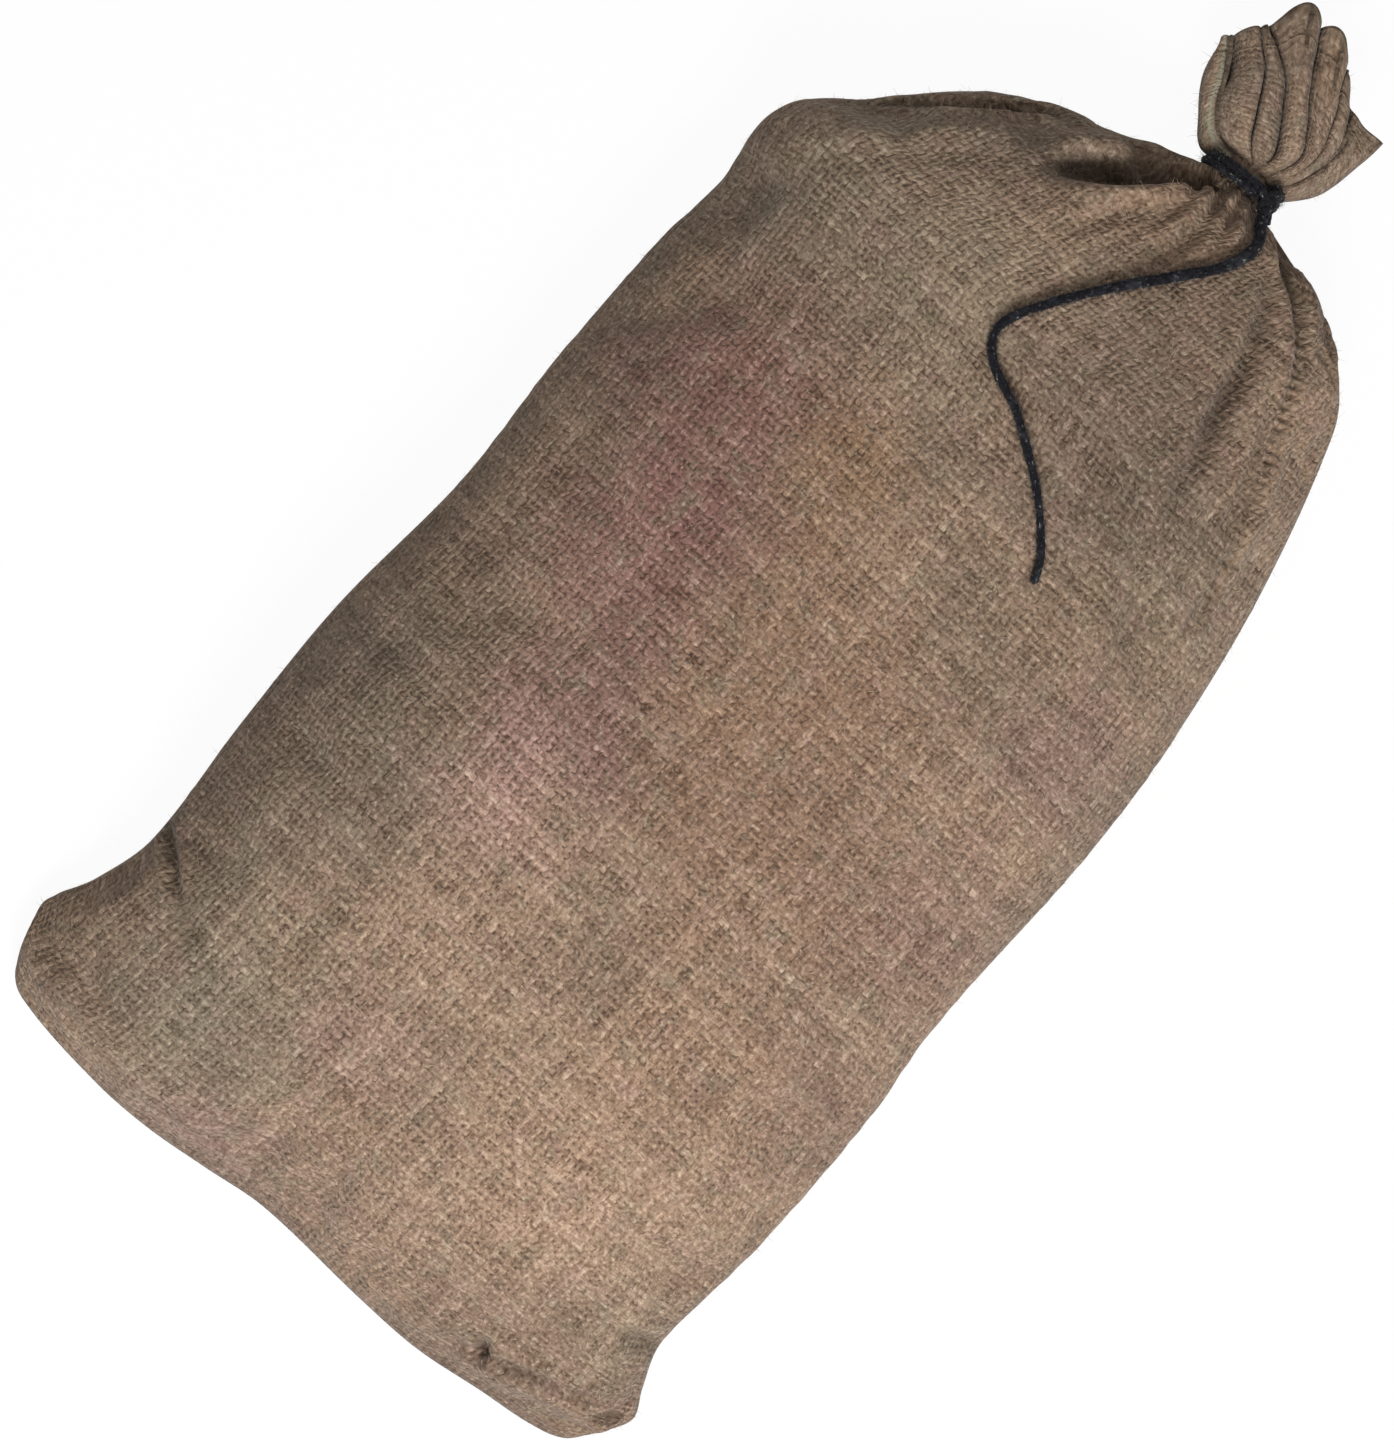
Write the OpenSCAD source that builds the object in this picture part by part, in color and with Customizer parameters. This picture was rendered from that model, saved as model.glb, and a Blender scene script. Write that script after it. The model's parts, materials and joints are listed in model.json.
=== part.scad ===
// Sack race bag: a woven sack, stuffed and lying on its back, tied shut below its mouth with a cord.
// X runs across the sack, Y from the bottom seam to the mouth, Z up from the ground.

/* [Sack] */
// Width across the stuffed sack
sack_w = 480; // [380:10:560]
// Length from the bottom seam to the middle of the tie
sack_l = 898; // [700:10:1000]
// Height of the plump middle above the ground
plump_h = 150; // [115:5:190]
// Height of the bottom seam above the ground
foot_h = 14; // [10:1:20]
// Thickness of the woven cloth
cloth_t = 1.8; // [1.2:0.1:2.4]

/* [Stitching] */
// Diameter of the seam and hem thread
thread_d = 1.6; // [1:0.1:2.2]
// Distance of the hem stitching from the mouth's edge
hem_depth = 14; // [8:1:25]

/* [Neck and tie] */
// Diameter of the gathered cloth under the tie
neck_d = 42; // [34:1:48]
// Height of the neck's middle above the ground
neck_h = 60; // [50:1:75]
// How far the neck lies to the left of the sack's middle
neck_shift = 19; // [0:1:40]
// Diameter of the tie cord
cord_d = 7; // [5:0.5:8]
// Turns of the cord round the neck
cord_turns = 2; // [1:1:3]

/* [Ruff] */
// Reach of the ruff from the tie to the highest point of the mouth
ruff_l = 118; // [95:1:140]
// Thickness of the ruff through its fullest part
ruff_h = 46; // [36:1:56]
// Lean of the ruff to the left
ruff_lean = 10; // [0:1:20]
// Angle that the mouth of the ruff spreads over
ruff_spread = 98; // [70:1:104]
// Distance from the tie to the bend that the ruff sways on
sway_reach = 22; // [20:1:28]

/* [Hidden] */

fit = 0.3;            // clearance between soft pieces that touch
seam_gap = 0.4;       // slit between the two panels along a turned seam
across = 24;          // steps across a panel
along = 40;           // steps along a panel
tube_sides = 8;

neck_r = neck_d / 2;
cord_r = cord_d / 2;
thread_r = thread_d / 2;
neck_x = -neck_shift;
turn_pitch = cord_d + fit;
band_half = (cord_turns - 1) * turn_pitch / 2 + cord_r;   // half the width of the wound cord
slim_from = sqrt(neck_r ^ 2 - (neck_r - cloth_t - 0.9 * fit) ^ 2);  // where the knuckle clears the cloth
body_l = sack_l - max(band_half + 2, slim_from);          // where the panels stop, just short of the tie

// Side edges seen from above: share of the length, share of the half width
left_shape = [[0, -1.06], [0.02, -1.09], [0.06, -1.03], [0.11, -0.99], [0.22, -1.03], [0.33, -1.06],
    [0.46, -1.05], [0.57, -1.09], [0.68, -1.11], [0.75, -1.10], [0.80, -1.13], [0.83, -1.09],
    [0.86, -0.98], [0.92, -0.78], [0.95, -0.62], [0.975, -0.38]];
right_shape = [[0, 0.98], [0.03, 1.03], [0.07, 1.02], [0.12, 0.98], [0.22, 0.97], [0.33, 0.94],
    [0.40, 0.90], [0.57, 0.88], [0.68, 0.83], [0.80, 0.73], [0.92, 0.57], [0.95, 0.48], [0.98, 0.31]];
// Bottom edge seen from above: share of the half width, distance up from the nominal edge
bottom_shape = [[-1, -2], [-0.96, -29], [-0.88, -40], [-0.6, -46], [-0.42, -44], [-0.24, -37], [-0.05, -29],
    [0.3, -29], [0.5, -26], [0.7, -14], [0.9, 0], [1, 22]];
bottom_reach = 0.2;   // share of the length over which the bottom edge's curve fades out
// Heights along the sack: share of the length, share of plump_h
crown_shape = [[0.012, 0.24], [0.03, 0.38], [0.08, 0.62], [0.15, 0.80], [0.25, 0.93], [0.38, 0.99],
    [0.5, 1], [0.62, 0.99], [0.75, 0.95], [0.85, 0.86], [0.92, 0.76], [0.965, 0.68]];
front_fullness = 0.9;  // power of the front's arch: 1 is an ellipse, and less is fuller
back_fullness = 1.35;  // how far the underside's arch is cut off flat where it rests on the ground
edge_shape = [[0.04, 0.11], [0.1, 0.22], [0.18, 0.33], [0.3, 0.38], [0.7, 0.4], [0.9, 0.4]];

// Route of the cord's loose tail over the sack, from the middle of the tie: across, along
tail_route = [[34, -24], [36, -35], [33, -47], [27, -60], [17, -74], [7, -88], [-4, -103],
    [-15, -119], [-26, -136], [-36, -153], [-45, -171], [-48, -186], [-42, -198], [-31, -206],
    [-18, -211], [-4, -216], [10, -224], [23, -232], [37, -241], [50, -251], [62, -262], [73, -274],
    [80, -287]];

// Value at t of a smooth curve through points [t, value]
function slope_at(points, i) =
    let (a = max(i - 1, 0), b = min(i + 1, len(points) - 1))
    (points[b][1] - points[a][1]) / (points[b][0] - points[a][0]);
function span_at(points, t, i = 0) =
    i >= len(points) - 2 || t < points[i + 1][0] ? i : span_at(points, t, i + 1);
function curve(points, t) =
    let (i = span_at(points, t), p = points[i], q = points[i + 1], w = q[0] - p[0],
        k = min(max((t - p[0]) / w, 0), 1))
    p[1] * (1 + 2 * k) * (1 - k) ^ 2 + q[1] * k ^ 2 * (3 - 2 * k)
    + w * slope_at(points, i) * k * (1 - k) ^ 2 + w * slope_at(points, i + 1) * k ^ 2 * (k - 1);
function scaled(points, along_by, value_by) = [for (p = points) [p[0] * along_by, p[1] * value_by]];

left_edge = concat(scaled(left_shape, body_l, sack_w / 2), [[body_l, neck_x - neck_r]]);
right_edge = concat(scaled(right_shape, body_l, sack_w / 2), [[body_l, neck_x + neck_r]]);
crown_line = concat([[0, foot_h]], scaled(crown_shape, body_l, plump_h), [[body_l, neck_h + neck_r]]);
edge_line = concat([[0, foot_h]], scaled(edge_shape, body_l, plump_h), [[body_l, neck_h]]);
belly_line = [[0, foot_h - 2 * cloth_t], [0.01 * body_l, 0.4 * foot_h], [0.025 * body_l, 0.1 * foot_h],
    [0.045 * body_l, 0], [0.7 * body_l, 0], [0.86 * body_l, 2], [0.94 * body_l, 12],
    [body_l, neck_h - neck_r]];

// Place on the sack's skin set inwards by deep: s runs 0 to 1 from the left edge to the right one
function near(line, y, deep) = [for (at = [y - deep, y, y + deep]) curve(line, min(max(at, 0), body_l))];
function low_x(y, deep) = max(near(left_edge, y, deep)) + deep;
function high_x(y, deep) = min(near(right_edge, y, deep)) - deep;
function skin_x(s, y, deep) =
    (low_x(y, deep) + high_x(y, deep)) / 2 - (high_x(y, deep) - low_x(y, deep)) / 2 * cos(180 * s);
function skin_y(s, y) =
    y + (y < bottom_reach * body_l
        ? curve(bottom_shape, -cos(180 * s)) * (1 - y / (bottom_reach * body_l)) ^ 2 : 0);
function front_z(s, y, deep, gap) =
    let (edge = curve(edge_line, y) + gap, crown = max(edge, min(near(crown_line, y, deep)) - deep))
    edge + (crown - edge) * sin(180 * s) ^ front_fullness;
function back_z(s, y, deep, gap) =
    let (edge = curve(edge_line, y) - gap, flat = max(concat(near(belly_line, y, deep), [0])) + deep,
        belly = min(edge, flat), round_share = min(max(y / body_l - 0.8, 0) / 0.2, 1),
        fullness = 1 + (back_fullness - 1) * (1 - round_share))
    edge - (edge - belly) * min(1, fullness * sin(180 * s));
function front_skin(deep, gap, from, to) = [for (y = rows(from, to)) [for (i = [0:across])
    let (s = i / across) [skin_x(s, y, deep), skin_y(s, y), front_z(s, y, deep, gap)]]];
function back_skin(deep, gap, from, to) = [for (y = rows(from, to)) [for (i = [0:across])
    let (s = i / across) [skin_x(s, y, deep), skin_y(s, y), back_z(s, y, deep, gap)]]];
function rows(from, to) = [for (i = [0:along]) from + (to - from) * (1 - cos(180 * i / along)) / 2];

// The ruff fans out from its bend: s runs from its left side to its right, t from the bend to the mouth
sway_x = neck_x;
sway_y = sack_l + sway_reach;
throat_r = 12;        // the small knuckle of cloth that the ruff sways on
ruff_across = 28;
ruff_along = 9;
ruff_t = 2.4;
mouth_shape = [[0, 0.64], [0.12, 0.74], [0.3, 0.84], [0.48, 0.81], [0.6, 0.66], [0.72, 0.57],
    [0.88, 0.6], [1, 0.56]];
ruff_fullness = [[0, 0.3], [0.3, 0.72], [0.6, 0.86], [1, 0.62]];
pleats = 4.5;
pleat_depth = 2.6;
ruff_bulge = 1.2;     // how much wider than its mouth the ruff spreads at half its height
function ruff_turn(s, t) = ruff_lean + ruff_spread * (0.5 - s) * (1.12 + (ruff_bulge - 1) * 6 * t * (1 - t));
function ruff_reach(s, t) = throat_r + 2 * fit + t * (curve(mouth_shape, s) * ruff_l - throat_r);
function ruff_z(s, t) =
    seam_gap / 2 + ruff_t + ruff_h / 2 * curve(ruff_fullness, t) * sqrt(max(0, 1 - (2 * s - 1) ^ 2))
    + pleat_depth * t * sin(180 * s) * cos(360 * pleats * s);
function ruff_point(s, t, side, lift) =
    [sway_x - ruff_reach(s, t) * sin(ruff_turn(s, t)), sway_y + ruff_reach(s, t) * cos(ruff_turn(s, t)),
        neck_h + side * (ruff_z(s, t) + lift)];
function ruff_skin(side, lift) = [for (j = [0:ruff_along]) [for (i = [0:ruff_across])
    ruff_point(i / ruff_across, j / ruff_along, side, lift)]];

// Middle of the object's box seen from above, which is the origin
plan = [for (row = front_skin(0, 0, 0, body_l)) for (p = row) p];
mouth = [for (i = [0:ruff_across]) ruff_point(i / ruff_across, 1, 1, 0)];
origin = [(min([for (p = plan) p[0]]) + max([for (p = plan) p[0]])) / 2,
    (min([for (p = plan) p[1]]) + max([for (p = mouth) p[1]])) / 2, 0];

module placed() { translate(-origin) children(); }

// A closed solid between two grids with the same rows and columns: first above second, or below it if flipped
module slab(top, bottom, flipped = false) {
    n = len(top);
    m = len(top[0]);
    lower = n * m;
    function at(r, c) = r * m + c;
    function turned(face) = [face[0] + lower, face[2] + lower, face[1] + lower];
    points = concat([for (row = top) each row], [for (row = bottom) each row]);
    upper_faces = [for (r = [0:n - 2]) for (c = [0:m - 2])
        each [[at(r, c), at(r + 1, c), at(r + 1, c + 1)], [at(r, c), at(r + 1, c + 1), at(r, c + 1)]]];
    faces = concat(
        upper_faces,
        [for (face = upper_faces) turned(face)],
        [for (c = [0:m - 2]) each wall(at(0, c), at(0, c + 1), lower)],
        [for (c = [0:m - 2]) each wall(at(n - 1, c + 1), at(n - 1, c), lower)],
        [for (r = [0:n - 2]) each wall(at(r + 1, 0), at(r, 0), lower)],
        [for (r = [0:n - 2]) each wall(at(r, m - 1), at(r + 1, m - 1), lower)]);
    polyhedron(points, flipped ? [for (f = faces) [f[2], f[1], f[0]]] : faces);
}
function wall(a, b, lower) = [[a, b, b + lower], [a, b + lower, a + lower]];

// A round tube along points, with flat ends
module tube(path, r) {
    last = len(path) - 1;
    rings = [for (i = [0:last])
        let (t = path[min(i + 1, last)] - path[max(i - 1, 0)], side = cross(t, [0, 0, 1]),
            right = side / norm(side), up = cross(right, t) / norm(t))
        [for (k = [0:tube_sides - 1])
            path[i] + r * (right * cos(360 * k / tube_sides) + up * sin(360 * k / tube_sides))]];
    faces = concat([[for (k = [tube_sides - 1:-1:0]) k]],
        [for (i = [0:last - 1]) for (k = [0:tube_sides - 1])
            let (a = i * tube_sides + k, b = i * tube_sides + (k + 1) % tube_sides)
            [a, b, b + tube_sides, a + tube_sides]],
        [[for (k = [0:tube_sides - 1]) last * tube_sides + k]]);
    polyhedron([for (ring = rings) each ring], faces, convexity = 6);
}

module front_panel() {
    color("#92755f") placed()
        slab(front_skin(0, seam_gap / 2, 0, body_l), front_skin(cloth_t, seam_gap / 2, cloth_t, body_l));
}

module back_panel() {
    color("#7d6a58") placed()
        slab(back_skin(0, seam_gap / 2, 0, body_l), back_skin(cloth_t, seam_gap / 2, cloth_t, body_l), true);
}

// The seams are turned in, so their thread runs just inside the meeting edges
seam_fit = fit * max(1, 1.87 * sack_w / sack_l);          // a squatter sack's edges slant more
thread_in = cloth_t + thread_r + seam_fit;
bottom_in = 2.6 * cloth_t + thread_r + fit;
side_rows = [for (y = rows(cloth_t, body_l)) if (y > 0.03 * body_l && y < 0.985 * body_l) y];
function thread_z(s, y) = (front_z(s, y, cloth_t, 0) + back_z(s, y, cloth_t, 0)) / 2;

module left_seam_thread() {
    color("#b59a72") placed()
        tube([for (y = side_rows) [low_x(y, thread_in), skin_y(0, y), curve(edge_line, y)]], thread_r);
}

module right_seam_thread() {
    color("#b59a72") placed()
        tube([for (y = side_rows) [high_x(y, thread_in), skin_y(1, y), curve(edge_line, y)]], thread_r);
}

module bottom_seam_thread() {
    color("#b59a72") placed()
        tube([for (i = [3:across - 3]) let (s = i / across)
            [skin_x(s, bottom_in, cloth_t), skin_y(s, bottom_in), thread_z(s, bottom_in)]], thread_r);
}

// Loose packing that fills the sack out, clear of the cloth and the seams
module filling() {
    deep = cloth_t + thread_d + 8 * fit;
    from = 12 * deep;
    to = 0.93 * body_l;
    color("#c9b98f") placed() slab(front_skin(deep, 2, from, to), back_skin(deep, 2, from, to));
}

// Gathered cloth: a knuckle under the tie and a smaller one that the ruff bends on
module neck_gather() {
    color("#75644f") placed() translate([neck_x, sack_l, neck_h]) {
        sphere(r = neck_r, $fn = 64);
        rotate([-90, 0, 0]) cylinder(r = throat_r - 1.5, h = sway_reach, $fn = 48);
        translate([0, sway_reach, 0]) sphere(r = throat_r, $fn = 48);
    }
}

module front_ruff() {
    color("#756454") placed() slab(ruff_skin(1, 0), ruff_skin(1, -ruff_t));
}

module back_ruff() {
    color("#6b5a4a") placed() slab(ruff_skin(-1, 0), ruff_skin(-1, -ruff_t), true);
}

// Two rows of hem stitching, one on each outer face of the mouth
module mouth_hem_thread() {
    hem_t = 1 - hem_depth / (0.7 * ruff_l);
    lift = (thread_r + fit) * 1.5;
    color("#b59a72") placed() for (side = [1, -1])
        tube([for (s = [0.08:0.02:0.93]) ruff_point(s, hem_t, side, lift)], thread_r);
}

// Turns of the cord, each seated on the round of the gathered neck
module cord_wraps() {
    color("#1c1b20") placed() translate([neck_x, sack_l, neck_h]) for (i = [0:cord_turns - 1]) {
        y = (i - (cord_turns - 1) / 2) * turn_pitch;
        ring_r = sqrt((neck_r + fit + cord_r) ^ 2 - y ^ 2);
        translate([0, y, 0]) rotate([90, 0, 0]) rotate_extrude($fn = 72)
            translate([ring_r, 0]) circle(r = cord_r, $fn = 32);
    }
}

// The knot sits on the turns, up and to the right
knot_side = 48;       // angle up from level
knot_down = 2;        // how far the knot sits below the middle of the turns
knot_size = [1.95, 3, 2.3] * cord_d;
knot_out = neck_r + cord_d + 2 * fit + knot_size[0] / 2;
module cord_knot() {
    color("#1c1b20") placed() translate([neck_x, sack_l, neck_h]) rotate([0, -knot_side, 0])
        translate([knot_out, -knot_down, 0]) resize(knot_size) sphere(d = knot_size[0], $fn = 32);
}

// The loose tail leaves the knot and lies along the sack's front
function skin_s(x, y) =
    acos(min(max(((low_x(y, 0) + high_x(y, 0)) / 2 - x) / ((high_x(y, 0) - low_x(y, 0)) / 2), -1), 1)) / 180;
function lie_z(x, y) =
    max([for (dx = [-1, 0, 1]) for (dy = [-1, 0, 1])
        front_z(skin_s(x + dx * cord_r, y + dy * cord_r), y + dy * cord_r, 0, 0)]) + cord_r + fit;
tail_out = knot_out + cord_r;
tail_down = knot_down + knot_size[1] / 2 + 4 * fit;
tail_start = [neck_x + tail_out * cos(knot_side), sack_l - tail_down, neck_h + tail_out * sin(knot_side)];
tail_path = concat([tail_start],
    [for (p = tail_route) let (x = neck_x + p[0], y = sack_l + p[1]) [x, y, lie_z(x, y)]]);

module cord_tail() {
    color("#1c1b20") placed() tube(tail_path, cord_r);
}

back_panel();
front_panel();
left_seam_thread();
right_seam_thread();
bottom_seam_thread();
filling();
neck_gather();
front_ruff();
back_ruff();
mouth_hem_thread();
cord_wraps();
cord_knot();
cord_tail();
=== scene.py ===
import json
import math

import bpy
import numpy as np
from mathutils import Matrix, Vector, noise


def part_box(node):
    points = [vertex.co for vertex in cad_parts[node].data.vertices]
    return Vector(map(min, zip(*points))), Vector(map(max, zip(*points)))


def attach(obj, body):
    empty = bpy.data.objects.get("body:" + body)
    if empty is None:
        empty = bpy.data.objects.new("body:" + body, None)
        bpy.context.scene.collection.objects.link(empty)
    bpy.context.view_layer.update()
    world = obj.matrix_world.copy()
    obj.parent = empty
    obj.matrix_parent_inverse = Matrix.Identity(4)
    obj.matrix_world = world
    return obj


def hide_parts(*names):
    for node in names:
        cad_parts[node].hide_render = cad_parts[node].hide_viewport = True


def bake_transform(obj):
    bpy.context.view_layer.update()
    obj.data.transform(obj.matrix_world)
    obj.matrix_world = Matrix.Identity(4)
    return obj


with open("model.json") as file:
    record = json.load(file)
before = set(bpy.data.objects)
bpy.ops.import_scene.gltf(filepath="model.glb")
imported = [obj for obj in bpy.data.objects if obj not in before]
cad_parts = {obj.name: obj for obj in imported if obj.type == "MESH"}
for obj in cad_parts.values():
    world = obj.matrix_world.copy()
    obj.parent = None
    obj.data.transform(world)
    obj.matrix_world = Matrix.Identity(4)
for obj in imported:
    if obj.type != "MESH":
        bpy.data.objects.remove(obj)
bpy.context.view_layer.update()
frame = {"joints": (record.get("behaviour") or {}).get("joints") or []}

scene = bpy.context.scene
dice = np.random.default_rng(7)  # every random draw comes from here, so each run is the same

joints = {joint["name"]: joint for joint in frame["joints"]}
tie = np.array(joints["ruff_nod"]["pos_m"])  # middle of the tie, where the ruff nods
panelLow, panelHigh = (np.array(corner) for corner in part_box("front_panel"))
print("frame loaded")


# Camera, looking straight down, turned so that the sack lies slanted
cameraSetup = {
    "turn": 43.65, "middle": (-0.0202, -0.0865), "planeHeight": 0.06,
    "frameHeight": 0.9406, "lens": 150,
}


def makeCamera(setup):
    data = bpy.data.cameras.new("camera")
    data.lens = setup["lens"]
    distance = setup["frameHeight"] * setup["lens"] / data.sensor_width
    camera = bpy.data.objects.new("camera", data)
    camera.location = (*setup["middle"], setup["planeHeight"] + distance)
    camera.rotation_euler = (0, 0, math.radians(setup["turn"]))
    scene.collection.objects.link(camera)
    scene.camera = camera


makeCamera(cameraSetup)
print("camera placed")


# Smooth curves through a few chosen points

def profile(points, at):
    p = np.array(points, float)
    spots = np.arange(len(p))
    before, after = np.maximum(spots - 1, 0), np.minimum(spots + 1, len(p) - 1)
    slope = (p[after, 1] - p[before, 1]) / (p[after, 0] - p[before, 0])
    at = np.asarray(at, float)
    i = np.clip(np.searchsorted(p[:, 0], at, side="right") - 1, 0, len(p) - 2)
    wide = p[i + 1, 0] - p[i, 0]
    k = np.clip((at - p[i, 0]) / wide, 0, 1)
    ends = p[i, 1] * (1 + 2 * k) * (1 - k) ** 2 + p[i + 1, 1] * k ** 2 * (3 - 2 * k)
    return ends + wide * (slope[i] * k * (1 - k) ** 2 + slope[i + 1] * k ** 2 * (k - 1))


def smoothLine(points, count):
    p = np.array(points, float)
    slope = np.gradient(p, axis=0)
    at = np.linspace(0, len(p) - 1, count)
    i = np.minimum(at.astype(int), len(p) - 2)
    k = (at - i)[:, None]
    ends = p[i] * (1 + 2 * k) * (1 - k) ** 2 + p[i + 1] * k ** 2 * (3 - 2 * k)
    return ends + slope[i] * k * (1 - k) ** 2 + slope[i + 1] * k ** 2 * (k - 1)


def evenly(line, step):
    lengths = np.r_[0, np.cumsum(np.linalg.norm(np.diff(line, axis=0), axis=1))]
    count = max(2, int(lengths[-1] / step) + 1)
    at = np.linspace(0, lengths[-1], count)
    return np.stack([np.interp(at, lengths, line[:, axis]) for axis in range(3)], 1)


# The sack's own shape: shares of its length against shares of its half width or its height
sackShape = {
    "width": 0.48, "length": 0.88885, "foot": 0.014, "neckRadius": 0.021, "neckShift": -0.019,
    "left": [[0, -1.06], [0.02, -1.09], [0.06, -1.03], [0.11, -0.99], [0.22, -1.03], [0.33, -1.06],
             [0.46, -1.05], [0.57, -1.09], [0.68, -1.11], [0.75, -1.10], [0.80, -1.13], [0.83, -1.09],
             [0.86, -0.98], [0.92, -0.78], [0.95, -0.62], [0.975, -0.38]],
    "right": [[0, 1.01], [0.03, 1.055], [0.055, 1.015], [0.09, 0.965], [0.13, 0.96], [0.22, 0.965],
              [0.33, 0.94], [0.40, 0.90], [0.57, 0.88], [0.68, 0.83], [0.80, 0.73], [0.92, 0.575],
              [0.95, 0.495], [0.98, 0.33]],
    "bottom": [[-1, -2], [-0.96, -29], [-0.88, -40], [-0.6, -46], [-0.42, -44], [-0.24, -37],
               [-0.05, -29], [0.3, -29], [0.5, -27], [0.7, -18], [0.86, -11], [0.95, -2], [1, 15]],
    "bottomReach": 0.2,
    "crown": [[0.012, 0.24], [0.03, 0.38], [0.08, 0.62], [0.15, 0.80], [0.25, 0.93], [0.38, 0.99],
              [0.5, 1], [0.62, 0.99], [0.75, 0.95], [0.85, 0.86], [0.92, 0.76], [0.965, 0.68]],
    "edge": [[0.04, 0.11], [0.1, 0.22], [0.18, 0.33], [0.3, 0.38], [0.7, 0.4], [0.9, 0.4]],
    "frontFullness": 0.9, "backFullness": 1.35,
}
plumpHeight = panelHigh[2]
neckHeight = tie[2]


def scaled(points, alongBy, valueBy):
    return [[place * alongBy, value * valueBy] for place, value in points]


def sackLines(shape):
    long, half, neck = shape["length"], shape["width"] / 2, shape["neckRadius"]
    foot = shape["foot"]
    return {
        "left": scaled(shape["left"], long, half) + [[long, shape["neckShift"] - neck]],
        "right": scaled(shape["right"], long, half) + [[long, shape["neckShift"] + neck]],
        "crown": [[0, foot]] + scaled(shape["crown"], long, plumpHeight) + [[long, neckHeight + neck]],
        "edge": [[0, foot]] + scaled(shape["edge"], long, plumpHeight) + [[long, neckHeight]],
        "belly": [[0, 0.75 * foot], [0.01 * long, 0.4 * foot], [0.025 * long, 0.1 * foot],
                  [0.045 * long, 0], [0.7 * long, 0], [0.86 * long, 0.002], [0.94 * long, 0.012],
                  [long, neckHeight - neck]],
    }


lines = sackLines(sackShape)


def sackSkin(s, y, side):
    shape, long = sackShape, sackShape["length"]
    left, right = profile(lines["left"], y), profile(lines["right"], y)
    edge, crown = profile(lines["edge"], y), profile(lines["crown"], y)
    turn = np.cos(math.pi * s)
    arch = np.sin(math.pi * s)
    x = (left + right) / 2 - (right - left) / 2 * turn
    reach = shape["bottomReach"] * long
    fade = np.maximum(1 - y / reach, 0) ** 2
    low = y + profile(scaled(shape["bottom"], 1, 0.001), -turn) * fade
    if side == "front":
        z = edge + (crown - edge) * np.maximum(arch, 0) ** shape["frontFullness"]
    else:
        belly = np.maximum(profile(lines["belly"], y), 0)
        roundShare = np.clip((y / long - 0.8) / 0.2, 0, 1)
        fullness = 1 + (shape["backFullness"] - 1) * (1 - roundShare)
        z = edge - (edge - belly) * np.minimum(1, fullness * np.maximum(arch, 0))
    return np.stack([x + skinOffset[0], low + skinOffset[1], z], -1)


skinOffset = np.zeros(2)
roughGrid = np.meshgrid(np.linspace(0, 1, 241), np.linspace(0, sackShape["length"], 400))
skinOffset = np.array([panelLow[0] - sackSkin(*roughGrid, "front")[..., 0].min(),
                       panelHigh[1] - sackShape["length"]])


# Mesh and noise helpers

def meshPiece(name, points, faces, smooth=True):
    mesh = bpy.data.meshes.new(name)
    mesh.from_pydata([tuple(p) for p in points], [], faces)
    mesh.update()
    mesh.polygons.foreach_set("use_smooth", [smooth] * len(mesh.polygons))
    piece = bpy.data.objects.new(name, mesh)
    scene.collection.objects.link(piece)
    return piece


def gridFaces(rows, columns, start=0, flipped=False, closed=False):
    j, i = np.meshgrid(np.arange(rows - 1), np.arange(columns if closed else columns - 1), indexing="ij")
    after = (i + 1) % columns
    quads = np.stack([j * columns + i, j * columns + after,
                      (j + 1) * columns + after, (j + 1) * columns + i], -1).reshape(-1, 4) + start
    return (quads[:, ::-1] if flipped else quads).tolist()


def setUv(piece, name, values):
    layer = piece.data.uv_layers.new(name=name)
    corners = np.zeros(len(piece.data.loops), int)
    piece.data.loops.foreach_get("vertex_index", corners)
    layer.data.foreach_set("uv", np.asarray(values, np.float32)[corners].ravel())


def applyModifier(piece, kind, **settings):
    modifier = piece.modifiers.new("step", kind)
    for key, value in settings.items():
        setattr(modifier, key, value)
    bpy.context.view_layer.objects.active = piece
    with bpy.context.temp_override(object=piece, active_object=piece, selected_objects=[piece]):
        bpy.ops.object.modifier_apply(modifier=modifier.name)


def lumps(points, size, seed=0):
    flat = points.reshape(-1, points.shape[-1]) / size
    values = [noise.noise(Vector((p[0] + seed, p[1] - seed, p[2] + 3 * seed))) for p in flat]
    return np.array(values).reshape(points.shape[:-1])


def gridNormals(grid):
    down, across = np.gradient(grid, axis=0), np.gradient(grid, axis=1)
    normal = np.cross(across, down)
    return normal / np.maximum(np.linalg.norm(normal, axis=-1, keepdims=True), 1e-9)


def enlarge(grid, rows, columns):
    tall = smoothLine(grid.reshape(len(grid), -1), rows).reshape(rows, grid.shape[1], -1)
    wide = tall.transpose(1, 0, 2).reshape(grid.shape[1], -1)
    return smoothLine(wide, columns).reshape(columns, rows, -1).transpose(1, 0, 2)


# Rope, laid up from twisted plies along a route

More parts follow.
